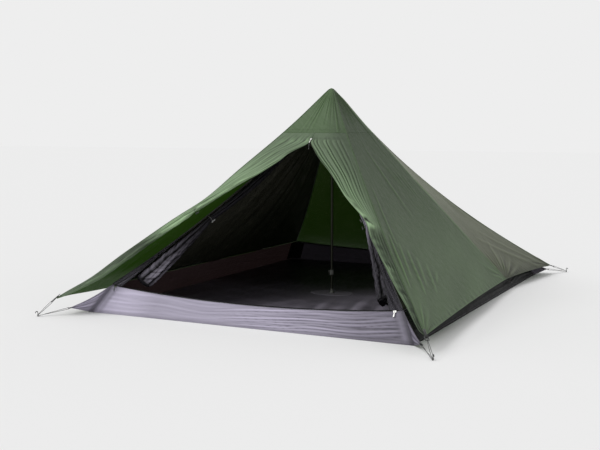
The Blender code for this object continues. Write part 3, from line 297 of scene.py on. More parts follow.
PEAK = (0.0, -POLE_FORWARD, PEAK_HEIGHT)
INNER_PEAK = (0.0, -POLE_FORWARD, PEAK_HEIGHT - 0.1)
SIDES = {"left": -1, "right": 1}
LEFT_FRONT_DIPS = ((0.48, 0.024, 0.09), (0.88, 0.016, 0.07))
FLY_RIBS = {
    "front_left": Rib(PEAK, (-1.27, -1.66, 0.11), 0.24, -0.08, 0.019, LEFT_FRONT_DIPS),
    "front_right": Rib(PEAK, (1.27, -1.66, 0.11), 0.24, -0.08, 0.012),
    "back_middle": Rib(PEAK, (0.0, 1.50, 0.09), 0.47, -0.20, 0.010),
}
for _name, _side in SIDES.items():
    FLY_RIBS["side_" + _name] = Rib(PEAK, (_side * 1.114, 0.632, 0.08), 0.0, crown=0.010)
    FLY_RIBS["back_" + _name] = Rib(PEAK, (_side * 1.24, 1.60, 0.07), 0.47, -0.20, 0.010)
RIB_ORDER = ("front_left", "front_right", "side_right", "back_right", "back_middle", "back_left", "side_left")
SEAM_HEIGHT = PEAK_HEIGHT - CAP_DEPTH


def tub_corner(side: int, end: int, height: Array | float) -> Array:
    """A corner of the bathtub at some heights; side is -1 on the left, and end is -1 in front."""
    inset = TUB_LEAN * height / TUB_HEIGHT
    return np.stack([side * (INNER_HALF[0] - inset), end * (INNER_HALF[1] - inset), height], axis=-1)


CORNERS = {"front_left": (-1, -1), "back_left": (-1, 1), "front_right": (1, -1), "back_right": (1, 1)}
INNER_RIBS = {name: Rib(INNER_PEAK, tuple(tub_corner(*corner, TUB_HEIGHT)), 0.24 if corner[1] < 0 else 0.30)
              for name, corner in CORNERS.items()}


def levels(shares: Array, pairs: Curve) -> Array:
    """Reads straight steps between (share, level) pairs at some shares."""
    return np.interp(shares, *zip(*pairs))


def crowded(share: Array) -> Array:
    """Shares from 0 to 1 that lie closer together near both ends."""
    return share - 0.7 * np.sin(2 * math.pi * share) / (2 * math.pi)


def tub_point(first: Corner, second: Corner, along: Array, rise: Array) -> Array:
    """Points of a bathtub wall.

    Args:
        first: side and end of the corner it starts at.
        second: side and end of the corner it runs to.
        along: shares of the way between them.
        rise: shares of the wall's height there, which sags between the corners in front and behind.

    Returns:
        One point for each pair of shares.
    """
    along, rise = np.broadcast_arrays(along, rise)
    beside = first[0] == second[0]
    height = (TUB_HEIGHT - (0 if beside else TUB_SAG) * 4 * along * (1 - along)) * rise
    start, stop = tub_corner(*first, height), tub_corner(*second, height)
    return start + (stop - start) * along[..., None]


def ear_tip(corner: Corner) -> Pair:
    """Where a corner of the bathtub is pulled to.

    Args:
        corner: side and end of the corner.

    Returns:
        The peg, and the lower end of the ear that points at it.
    """
    peg = np.array([corner[0] * PEG[0], corner[1] * PEG[1], 0.0])
    base = tub_corner(*corner, 0.0)
    return peg, base + unit(peg - base) * EAR_REACH + UP * EAR_TIP_HEIGHT


def inward(points: Array) -> Array:
    """The level direction from each point to the pole."""
    level = AXIS - points
    level[..., 2] = 0
    return unit(level)


def front_point(down: Array, across: Array) -> Array:
    """Points of the fly's front face.

    Args:
        down: shares from the cap's seam to the corner.
        across: shares from the left ridge to the right one.

    Returns:
        One point for each pair of shares.
    """
    down, across = np.broadcast_arrays(down, across)
    ends = []
    for name in ("front_left", "front_right"):
        rib = FLY_RIBS[name]
        start = rib.share_at(SEAM_HEIGHT - SEAM_GAP)
        ends.append(rib.at(start + (DOOR_CORNER - start) * down))
    return ends[0] + (ends[1] - ends[0]) * across[..., None]


def inner_front_point(down: Array, across: Array) -> Array:
    """Points of the inner tent's front face, which ends on the front wall's top edge.

    Args:
        down: shares from the inner peak.
        across: shares from the left ridge to the right one.

    Returns:
        One point for each pair of shares.
    """
    down, across = np.broadcast_arrays(down, across)
    left, right = INNER_RIBS["front_left"], INNER_RIBS["front_right"]
    points = left.at(down) + (right.at(down) - left.at(down)) * across[..., None]
    edge = left.at(1.0) + (right.at(1.0) - left.at(1.0)) * across[..., None]
    points = points + (tub_point((-1, -1), (1, -1), across, 1.0) - edge) * (down ** 2)[..., None]
    return points + UP * (MESH_THICKNESS + SEAM_GAP)


def strip_width(down: Array) -> Array:
    """How far across the front face a mesh strip reaches from its ridge."""
    share = np.maximum(down - STRIP_TOP, 0) / (1 - STRIP_TOP)
    return STRIP_ACROSS * (STRIP_TIP + (1 - STRIP_TIP) * share)


# Materials


class Socket:
    """Wraps a node's output, so that arithmetic on it adds Math nodes."""

    def __init__(self, recipe: Recipe, socket: bpy.types.NodeSocket) -> None:
        """Keeps the recipe that the socket belongs to."""
        self.recipe = recipe
        self.socket = socket

    def _math(self, operation: str, *values: Socket | float) -> Socket:
        """The result of a new Math node."""
        return self.recipe.add("ShaderNodeMath", {"operation": operation}, dict(enumerate(values)))

    def __add__(self, other: Socket | float) -> Socket:
        """The sum."""
        return self._math("ADD", self, other)

    def __mul__(self, other: Socket | float) -> Socket:
        """The product."""
        return self._math("MULTIPLY", self, other)

    def __sub__(self, other: Socket | float) -> Socket:
        """The difference."""
        return self._math("SUBTRACT", self, other)

    def __rsub__(self, other: Socket | float) -> Socket:
        """The difference, the other way round."""
        return self._math("SUBTRACT", other, self)

    def wave(self) -> Socket:
        """The sine."""
        return self._math("SINE", self)

    def size(self) -> Socket:
        """The absolute value."""
        return self._math("ABSOLUTE", self)

    def over(self, limit: float) -> Socket:
        """One where the value passes the limit, otherwise zero."""
        return self._math("GREATER_THAN", self, limit)


class Recipe:
    """The node tree of one finish."""

    def __init__(self, name: str) -> None:
        """Starts a material with its Principled shader."""
        self.material = bpy.data.materials.new(name)
        self.material.use_nodes = True
        self.tree = self.material.node_tree
        self.shader = self.tree.nodes["Principled BSDF"]

    def add(self, kind: str, settings: dict | None = None, values: dict | None = None,
            output: int | str = 0) -> Socket:
        """Adds a node.

        Args:
            kind: the node's type.
            settings: its own settings, set first.
            values: values or sockets for its inputs, by name or number.
            output: the output to return.

        Returns:
            The wrapped output.
        """
        node = self.tree.nodes.new(kind)
        for key, value in (settings or {}).items():
            setattr(node, key, value)
        for key, value in (values or {}).items():
            self.feed(node.inputs[key], value)
        return Socket(self, node.outputs[output])

    def feed(self, entry: bpy.types.NodeSocket, value: object) -> None:
        """Links or sets one input."""
        if isinstance(value, Socket):
            self.tree.links.new(value.socket, entry)
        else:
            entry.default_value = value

    def uv(self, layer: str, scale: Triple = (1, 1, 1)) -> Socket:
        """A piece's own UV map, scaled."""
        place = self.add("ShaderNodeUVMap", {"uv_map": layer})
        return self.add("ShaderNodeMapping", None, {"Vector": place, "Scale": scale})

    def place(self, scale: Triple = (1, 1, 1)) -> Socket:
        """Object coordinates, scaled."""
        place = self.add("ShaderNodeTexCoord", output="Object")
        return self.add("ShaderNodeMapping", None, {"Vector": place, "Scale": scale})

    def noise(self, vector: Socket, scale: float, detail: float = 2.0, rough: float = 0.5) -> Socket:
        """A noise level of 0 to 1."""
        return self.add("ShaderNodeTexNoise", None, {"Vector": vector, "Scale": scale, "Detail": detail,
                                                     "Roughness": rough})

    def split(self, vector: Socket) -> tuple[Socket, Socket, Socket]:
        """The three parts of a vector."""
        first = self.add("ShaderNodeSeparateXYZ", None, {"Vector": vector})
        return first, *(Socket(self, first.socket.node.outputs[name]) for name in "YZ")

    def shaded(self, colour: Socket, crease_shading: float) -> Socket:
        """A colour with painted shade and light: lighter on the cloth's crests and darker in its hollows,
        times its painted light level.
        """
        crest, painted_light, _ = self.split(self.uv("Shade"))
        return self.add("ShaderNodeVectorMath", {"operation": "SCALE"},
                        {"Vector": colour, "Scale": painted_light * (crest * (2 * crease_shading) + (1 - crease_shading))})

    def blend(self, share: Socket | float, *colours: object) -> Socket:
        """Mixes two colours, by the second one's share."""
        first, second = (value if isinstance(value, Socket) else (*value, 1.0) for value in colours)
        return self.add("ShaderNodeMix", {"data_type": "RGBA"}, {0: share, 6: first, 7: second}, output=2)

    def bump(self, height: Socket, depth: float, strength: float, normal: Socket | None = None) -> Socket:
        """A Bump node over another normal."""
        values: dict = {"Height": height, "Distance": depth, "Strength": strength}
        if normal is not None:
            values["Normal"] = normal
        return self.add("ShaderNodeBump", None, values)

    def finish(self, **entries: object) -> bpy.types.Material:
        """Sets or links the shader's inputs, with underscores for spaces, and returns the material."""
        for key, value in entries.items():
            self.feed(self.shader.inputs[key.replace("_", " ")], value)
        return self.material


@dataclass(frozen=True)
class WovenCloth:
    """A thin coated weave: fine threads, a faint reinforcing grid, and soft crinkles."""

    name: str
    colour: Triple
    worn: Triple
    roughness: float = 0.5
    # Painted shade: how much lighter the crests and darker the hollows of the cloth are drawn
    crease_shading: float = 0.42
    thread: float = 0.0006
    grid: float = 0.006
    grid_depth: float = 0.03
    crinkle: float = 0.0012
    crinkle_size: float = 14.0
    stretch: Triple = (1.0, 1.0, 1.0)
    fan: float = 0.0
    fan_count: float = 60.0
    # Painted sheen: the greyer colour that a side panel's rear gore is blended to, standing in for light it
    # reflects at a grazing angle
    rear: Triple | None = None
    # Painted light: an even glow that stands in for daylight coming through the cloth
    glow: Triple = (0.0, 0.0, 0.0)

    def make(self) -> bpy.types.Material:
        """Builds the material.

        Returns:
            The finished material.
        """
        recipe = Recipe(self.name)
        across, along, _ = recipe.split(recipe.uv("Cloth"))
        warp = (across * (math.pi / self.thread)).wave()
        weft = (along * (math.pi / self.thread)).wave()
        threads = warp * weft
        lines = ((across * (math.pi / self.grid)).wave().size().over(0.94)
                 + (along * (math.pi / self.grid)).wave().size().over(0.94))
        patches = recipe.noise(recipe.place(), 1.7, 3.0)
        mottle = recipe.noise(recipe.place(), 30.0, 3.0)
        base = recipe.blend(patches, self.colour, self.worn)
        # Painted sheen on the rear gore
        if self.rear:
            turn, _, _ = recipe.split(recipe.uv("Fan"))
            share = recipe.add("ShaderNodeMapRange", {"interpolation_type": "SMOOTHSTEP"},
                               {"Value": turn, "From Min": 0.485, "From Max": 0.53, "To Max": 0.85})
            base = recipe.blend(share, base, self.rear)
        base = recipe.blend(mottle * 0.14, base, tuple(1.2 * level for level in self.worn))
        base = recipe.blend(lines * self.grid_depth, base, tuple(0.55 * level for level in self.colour))
        # Painted shade and light from the piece's Shade map
        base = recipe.shaded(base, self.crease_shading)
        rough = mottle * 0.16 + (self.roughness - 0.08)
        crinkles = recipe.noise(recipe.uv("Cloth", self.stretch), self.crinkle_size, 4.0, 0.55)
        normal = recipe.bump(crinkles, self.crinkle * 8, 0.6)
        if self.fan:
            spread = recipe.noise(recipe.uv("Fan", (self.fan_count, 1.6, 1.0)), 1.0, 3.0, 0.6)
            normal = recipe.bump(spread, self.fan * 6, 0.7, normal)
        normal = recipe.bump(threads * 0.5 + lines * 0.5, 0.00025, 0.35, normal)
        return recipe.finish(Base_Color=base, Roughness=rough, Normal=normal, Specular_IOR_Level=0.22,
                             Emission_Color=(*self.glow, 1.0), Emission_Strength=float(any(self.glow)))


@dataclass(frozen=True)
class NetCloth:
    """Fine insect mesh, which shows what is behind it."""

    name: str
    colour: Triple
    cover: float = 0.5
    cell: float = 0.0011
    # Painted shade: how much lighter the crests and darker the hollows of the mesh are drawn
    crease_shading: float = 0.6

    def make(self) -> bpy.types.Material:
        """Builds the material.

        Returns:
            The finished material.
        """
        recipe = Recipe(self.name)
        across, along, _ = recipe.split(recipe.uv("Cloth"))
        holes = ((across * (math.pi / self.cell)).wave() * (along * (math.pi / self.cell)).wave()).size()
        folds = recipe.noise(recipe.uv("Cloth", (1.0, 0.35, 1.0)), 22.0, 3.0)
        # Painted shade: the mesh is drawn darker in the hollows of its bumped folds and lighter on their
        # crests
        base = recipe.blend(folds, tuple(0.7 * level for level in self.colour),
                            tuple(1.6 * level for level in self.colour))
        cover = (1 - holes) * 0.25 + (self.cover - 0.1)
        return recipe.finish(Base_Color=recipe.shaded(base, self.crease_shading), Roughness=0.62, Alpha=cover,
                             Normal=recipe.bump(folds, 0.010, 0.6), Specular_IOR_Level=0.15)


@dataclass(frozen=True)
class Webbing:
    """Flat woven strap or tape, ribbed along its length."""

    name: str
    colour: Triple
    rib: float = 0.0016

    def make(self) -> bpy.types.Material:
        """Builds the material.

        Returns:
            The finished material.
        """
        recipe = Recipe(self.name)
        place = recipe.place()
        across, along, _ = recipe.split(place)
        ribs = ((across + along) * (2 * math.pi / self.rib)).wave()
        fuzz = recipe.noise(place, 180.0, 3.0)
        base = recipe.blend(fuzz, self.colour, tuple(1.7 * level + 0.004 for level in self.colour))
        normal = recipe.bump(ribs * 0.5 + fuzz, 0.0004, 0.6)
        return recipe.finish(Base_Color=base, Roughness=0.78, Normal=normal, Sheen_Weight=0.2)


@dataclass(frozen=True)
class BraidedCord:
    """Round cord with a slanting braid, which follows the cord's own UV map."""

    name: str
    colour: Triple
    fleck: Triple
    braid: float = 0.0022

    def make(self) -> bpy.types.Material:
        """Builds the material.

        Returns:
            The finished material.
        """
        recipe = Recipe(self.name)
        around, along, _ = recipe.split(recipe.uv("Cloth"))
        pitch = 2 * math.pi / self.braid
        one = (along * pitch + around * (4 * math.pi)).wave()
        two = (along * pitch - around * (4 * math.pi)).wave()
        braid = one * two
        base = recipe.blend(braid.over(0.45), self.colour, self.fleck)
        normal = recipe.bump(braid, 0.0005, 0.7)
        return recipe.finish(Base_Color=base, Roughness=0.75, Normal=normal, Sheen_Weight=0.2)


@dataclass(frozen=True)
class Moulded:
    """Moulded plastic with a fine grain and rubbed edges."""

    name: str
    colour: Triple
    roughness: float = 0.42

    def make(self) -> bpy.types.Material:
        """Builds the material.

        Returns:
            The finished material.
        """
        recipe = Recipe(self.name)
        grain = recipe.noise(recipe.place(), 900.0, 2.0)
        rub = recipe.noise(recipe.place(), 60.0, 3.0)
        base = recipe.blend(rub, self.colour, tuple(1.5 * level + 0.01 for level in self.colour))
        rough = rub * 0.2 + (self.roughness - 0.1)
        return recipe.finish(Base_Color=base, Roughness=rough, Normal=recipe.bump(grain, 0.0002, 0.4))


@dataclass(frozen=True)
class BareMetal:
    """Drawn, anodised or cast metal with fine lengthways marks."""

    name: str
    colour: Triple
    roughness: float = 0.3
    drawn: Triple = (1.0, 1.0, 0.04)

    def make(self) -> bpy.types.Material:
        """Builds the material.

        Returns:
            The finished material.
        """
        recipe = Recipe(self.name)
        marks = recipe.noise(recipe.place(self.drawn), 700.0, 3.0)
        smudge = recipe.noise(recipe.place(), 25.0, 3.0)
        base = recipe.blend(smudge * 0.6, self.colour, tuple(0.72 * level for level in self.colour))
        rough = marks * 0.12 + smudge * 0.12 + (self.roughness - 0.1)
        return recipe.finish(Base_Color=base, Roughness=rough, Metallic=1.0,
                             Normal=recipe.bump(marks, 0.00012, 0.35))


class Finish(Enum):
    """Every finish on the tent."""

    FLY_OUT = WovenCloth("fly_outside", linear(84, 108, 72), linear(90, 114, 77), 0.46)
    # Painted sheen: the side panels' rear gores are blended to a greyer colour
    FLY_SIDE = WovenCloth("fly_side", linear(86, 108, 74), linear(92, 114, 80), 0.46, 0.55, fan=0.0010,
                          fan_count=26.0, rear=linear(110, 111, 96))
    # Painted sheen: the back panel is drawn in the greyer rear-gore colour
    FLY_BACK = WovenCloth("fly_rear", linear(107, 112, 93), linear(112, 116, 98), 0.46, 0.55)
    # Painted light: a lighter, greyer copy of the fly's cloth for the door halves, with stronger painted
    # crease shade
    FLY_DOOR = WovenCloth("fly_door", linear(95, 114, 87), linear(102, 121, 93), 0.46, 0.9)
    # Painted light: the fly's inner faces glow, standing in for daylight through the cloth
    FLY_IN = WovenCloth("fly_inside", linear(38, 64, 22), linear(44, 72, 28), 0.6, 0.2,
                        glow=(0.0085, 0.0225, 0.0022))
    TUB_OUT = WovenCloth("tub_outside", linear(164, 159, 177), linear(152, 146, 163), 0.46, 0.55,
                         stretch=(0.18, 1.0, 1.0), crinkle=0.0016, crinkle_size=26.0)
    # Painted shade: the side walls' outside is the bathtub's cloth drawn near-black as shade; the dark
    # binding on the front wall's top edge also uses it
    TUB_SIDE = WovenCloth("tub_side", linear(10, 10, 12), linear(8, 8, 10), 0.6,
                          stretch=(0.18, 1.0, 1.0), crinkle=0.0016, crinkle_size=26.0)
    # Painted light: the bathtub's inner faces glow, standing in for light through the cloth
    TUB_IN = WovenCloth("tub_inside", linear(96, 80, 82), linear(74, 61, 63), 0.5,
                        glow=(0.0046, 0.0027, 0.0027))
    TUB_BACK = WovenCloth("tub_back_inside", linear(84, 80, 90), linear(72, 68, 77), 0.5,
                          glow=(0.0026, 0.0023, 0.0028))
    FLOOR = WovenCloth("woven_floor", linear(84, 80, 88), linear(70, 67, 74), 0.40, 0.5, crinkle=0.002,
                       crinkle_size=9.0)
    # Painted light: lighter than the floor's cloth, to match the painted light on the floor round it
    PATCH = WovenCloth("patch_cloth", linear(136, 131, 141), linear(121, 117, 126), 0.45)
    MESH = NetCloth("inner_mesh", linear(72, 74, 62), 0.3)
    MESH_SIDE = NetCloth("side_mesh", linear(66, 65, 56), 0.84)
    MESH_FOLDED = NetCloth("rolled_mesh", linear(80, 77, 85), 0.95, crease_shading=0.98)
    MESH_STRIP = NetCloth("strip_mesh", linear(58, 56, 62), 0.62)
    BAND = WovenCloth("dark_band", linear(20, 19, 20), linear(16, 15, 16), 0.7)
    TAPE = Webbing("dark_tape", linear(26, 26, 28))
    STRAP = Webbing("corner_strap", linear(30, 31, 30))
    CORD_DARK = BraidedCord("braided_dark", linear(22, 22, 22), linear(50, 52, 50))
    CORD_PALE = BraidedCord("pale_cord", linear(120, 120, 118), linear(178, 178, 176))
    PLASTIC = Moulded("moulded_dark", linear(36, 36, 38))
    GREY_PLASTIC = Moulded("moulded_grey", linear(104, 106, 100))
    PALE_PLASTIC = Moulded("pale_plastic", linear(150, 152, 150))
    POLE = BareMetal("drawn_pole", linear(74, 76, 66), 0.5)
    ZIP_METAL = BareMetal("cast_zip", linear(196, 196, 192), 0.3, (1.0, 1.0, 1.0))
    PEG_METAL = BareMetal("bent_peg", linear(92, 93, 92), 0.32)
    THREAD = Webbing("sewing_thread", linear(56, 74, 50), 0.0004)
    THREAD_GREY = Webbing("grey_thread", linear(104, 100, 112), 0.0004)
    TEETH = Moulded("zip_teeth", linear(22, 22, 24), 0.35)

    def material(self) -> bpy.types.Material:
        """The finish's material, made when it is first used."""
        return bpy.data.materials.get(self.value.name) or self.value.make()


# Meshes


def link_object(name: str, data: bpy.types.ID) -> Piece:
    """Puts a new object in the scene.

    Args:
        name: its name.
        data: its mesh, lamp or camera.

    Returns:
        The object.
    """
    obj = bpy.data.objects.new(name, data)
    bpy.context.scene.collection.objects.link(obj)
    return obj


def mesh_object(name: str, points: Array, faces: Sequence[Sequence[int]], finishes: Sequence[Finish],
                slots: Array | None = None, maps: dict[str, Array] | None = None) -> Piece:
    """Makes an object at the origin from points and faces.

    Args:
        name: the piece's name.
        points: its points.
        faces: its faces, as lists of point numbers, turned outwards.
        finishes: one finish for each material slot.
        slots: the slot of each face.
        maps: UV maps, with one pair for each point.

    Returns:
        The new object.
    """
    mesh = bpy.data.meshes.new(name)
    mesh.from_pydata(points.tolist(), [], [tuple(map(int, face)) for face in faces])
    for finish in finishes:
        mesh.materials.append(finish.material())
    if slots is not None:
        mesh.polygons.foreach_set("material_index", np.asarray(slots, np.int32))
    corners = np.zeros(len(mesh.loops), np.int32)
    mesh.loops.foreach_get("vertex_index", corners)
    # Pieces without their own map get plain painted shade
    maps = {"Shade": np.broadcast_to(PLAIN, (len(points), 2)), **(maps or {})}
    for layer, pairs in maps.items():
        mesh.uv_layers.new(name=layer).data.foreach_set("uv", np.asarray(pairs, np.float32)[corners].ravel())
    mesh.shade_smooth()
    mesh.validate()
    return link_object(name, mesh)


def settle(obj: Piece, slot: str, *nodes: str, body: str = "tent") -> None:
    """Rides a finished piece on its body and hides the nodes it stands for.

    Args:
        obj: the piece.
        slot: the record's material slot; not used.
        nodes: the CAD nodes that it replaces.
        body: the CAD body.
    """
    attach(obj, body)
    if nodes:
        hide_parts(*nodes)
    LOG.info("piece %s on %s, %d faces", obj.name, body, len(obj.data.polygons))


def grid_normals(grid: Array, centre: Array) -> Array:
    """The outward direction at each point of a grid.

    Args:
        grid: rows and columns of points.
        centre: a point on the inner side.

    Returns:
        Unit vectors.
    """
    normals = unit(np.cross(np.gradient(grid, axis=1), np.gradient(grid, axis=0)))
    if np.sum(normals * (grid - centre)) < 0:
        normals = -normals
    return normals


def grid_area(grid: Array) -> float:
    """The area of a grid's cloth, in square metres."""
    first = np.cross(grid[:-1, 1:] - grid[:-1, :-1], grid[1:, 1:] - grid[:-1, :-1])
    second = np.cross(grid[1:, 1:] - grid[:-1, :-1], grid[1:, :-1] - grid[:-1, :-1])
    return float(np.linalg.norm(first, axis=-1).sum() + np.linalg.norm(second, axis=-1).sum()) / 2


def blurred(grid: Array, rounds: int) -> Array:
    """A grid averaged over its neighbours, both ways.

    Args:
        grid: rows and columns of values.
        rounds: how often.

    Returns:
        The smooth grid.
    """
    for axis in (0, 1):
        span = np.arange(grid.shape[axis])
        for _ in range(rounds):
            before, after = np.maximum(span - 1, 0), np.minimum(span + 1, span[-1])
            grid = (grid.take(before, axis) + 2 * grid + grid.take(after, axis)) / 4
    return grid


def crest_share(grid: Array, normals: Array, rounds: int) -> Array:
    """Whether each point of a grid lies on a crest, 1, or in a hollow, 0, against its blurred form."""
    proud = np.sum((grid - blurred(grid, rounds)) * normals, axis=-1) / CREST_HEIGHT
    return 0.5 + 0.5 * np.clip(proud, -1, 1)


def declare_sheet(flat: Array) -> None:
    """Works out the size and area that a piece's cloth was cut to, but keeps neither.

    Args:
        flat: its cloth, as a grid of points without folds.
    """
    across = float(np.linalg.norm(np.diff(flat, axis=1), axis=-1).sum(axis=1).max())
    down = float(np.linalg.norm(np.diff(flat, axis=0), axis=-1).sum(axis=0).max())
    area = max(min(grid_area(flat), MOST_AREA * across * down), LEAST_AREA * across * down)


@dataclass
class Sheet:
    """One piece of cloth: a grid of points on its outer face, thickened inwards."""

    name: str
    flat: Array
    centre: Array
    thickness: float = FLY_CLOTH
    grain: Pair = (RIGHT, UP)
    finishes: tuple[Finish, Finish] = (Finish.FLY_OUT, Finish.FLY_IN)
    slot: str = "fly_cloth"
    held: str = "stretched"
    rests_on: tuple[str, ...] = ()
    lift: Array | None = None
    # Painted light level of each point, which multiplies the colour
    painted_light: Array | float = 1.0

    def shaped(self) -> Array:
        """The grid with its folds lifted off it."""
        if self.lift is None:
            return self.flat
        return self.flat + grid_normals(self.flat, self.centre) * self.lift[..., None]

    def build(self, *nodes: str) -> None:
        """Args:
            nodes: the CAD nodes that it replaces.
        """
        outer = self.shaped()
        rows, columns = outer.shape[:2]
        normals = grid_normals(self.flat, self.centre)
        points = np.concatenate([outer.reshape(-1, 3), (outer - normals * self.thickness).reshape(-1, 3)])
        points[:, 2] = np.maximum(points[:, 2], 0)
        shift = rows * columns
        index = np.arange(shift).reshape(rows, columns)
        quads = np.stack([index[:-1, :-1], index[:-1, 1:], index[1:, 1:], index[1:, :-1]], axis=-1)
        quads = quads.reshape(-1, 4)
        middle = outer[rows // 2:rows // 2 + 2, columns // 2:columns // 2 + 2]
        turn = np.cross(middle[0, 1] - middle[0, 0], middle[1, 1] - middle[0, 1])
        rim = [*index[0, :], *index[1:, -1], *index[-1, -2::-1], *index[-2:0:-1, 0]]
        edges = [[there, here, shift + here, shift + there] for here, there in zip(rim, rim[1:] + rim[:1])]
        faces = quads.tolist() + (quads[:, ::-1] + shift).tolist() + edges
        if float(turn @ normals[rows // 2, columns // 2]) < 0:
            faces = [face[::-1] for face in faces]
        slots = np.concatenate([np.zeros(len(quads)), np.ones(len(quads) + len(edges))])
        weave = paired(self.flat @ unit(self.grain[0]), self.flat @ unit(self.grain[1]))
        share = paired(np.linspace(0, 1, columns)[None, :], np.linspace(0, 1, rows)[:, None])
        # Painted shade on the outer face: crests lighter and hollows darker, times the painted light level;
        # the inner face stays plain
        shade = paired(crest_share(outer, normals, 10), self.painted_light)
        maps = {"Cloth": np.concatenate([weave] * 2), "Fan": np.concatenate([share] * 2),
                "Shade": np.concatenate([shade, np.broadcast_to(PLAIN, shade.shape)])}
        obj = mesh_object(self.name, points, faces, self.finishes, slots, maps)
        settle(obj, self.slot, *nodes)
        declare_sheet(self.flat)


def tube_mesh(name: str, path: Array, radius: float, finish: Finish, closed: bool = False,
              sides: int = 12, flat: float = 1.0) -> Piece:
    """A round tube along a path, with a metric UV map along it.

    Args:
        name: the piece's name.
        path: points along the centre line.
        radius: its radius.
        finish: its finish.
        closed: joins the ends.
        sides: faces around it.
        flat: its thickness as a share of its width.

    Returns:
        The tube.
    """
    tangents = np.roll(path, -1, axis=0) - np.roll(path, 1, axis=0) if closed else np.gradient(path, axis=0)
    tangents = unit(tangents)
    side = unit(np.cross(tangents[0], UP if abs(tangents[0][2]) < 0.9 else RIGHT))
    sides_at = [side]
    for tangent in tangents[1:]:
        side = unit(side - tangent * float(side @ tangent))
        sides_at.append(side)
    across = np.array(sides_at)
    above = np.cross(tangents, across)
    if closed:
        last = unit(side - tangents[0] * float(side @ tangents[0]))
        twist = math.atan2(float(np.cross(last, across[0]) @ tangents[0]), float(last @ across[0]))
        turns = np.linspace(0, twist, len(path))[:, None]
        across = across * np.cos(turns) + above * np.sin(turns)
        above = np.cross(tangents, across)
    angles = circle(sides)[None, :, None]
    spread = across[:, None] * np.cos(angles) + above[:, None] * flat * np.sin(angles)
    rings = path[:, None] + radius * spread
    along = paired(np.linspace(0, 1, sides)[None, :], reach_along(path)[:, None])
    return mesh_object(name, rings.reshape(-1, 3), ring_faces(len(path), sides, closed), [finish], None,
                       {"Cloth": along})


# Cords and straps


def twisted_loop(bar: Array, bar_radius: float, across: Array, shank: Array, shank_radius: float,
                 spin: int) -> Array:
    """A loop round a buckle's bar and a peg's shank, with a quarter turn between them.

    Args:
        bar: the middle of the bar.
        bar_radius: how far the cord's centre line stays from it.
        across: the bar's direction.
        shank: the point of the shank that it goes round.
        shank_radius: how far the centre line stays from it.
        spin: the side that its upper strand turns to.

    Returns:
        The closed centre line.
    """
    along = unit(shank - bar)
    level = unit(along * (RIGHT + BACK))
    side = np.cross(UP, level) * spin
    above = unit(np.cross(across, along))
    above = above * np.sign(above[2])
    share = np.linspace(0, 1, 12)[:, None]
    turn = share * math.pi / 2
    offset = (above * np.cos(turn) + side * np.sin(turn)) * (bar_radius + (shank_radius - bar_radius) * share)
    line = bar + (shank - bar) * share
    arc = np.linspace(0, math.pi, 12)[1:-1, None]
    far = shank + shank_radius * (side * np.cos(arc) + level * np.sin(arc))
    near = bar - bar_radius * (above * np.cos(arc) + along * np.sin(arc))
    return np.concatenate([line + offset, far, (line - offset)[::-1], near])


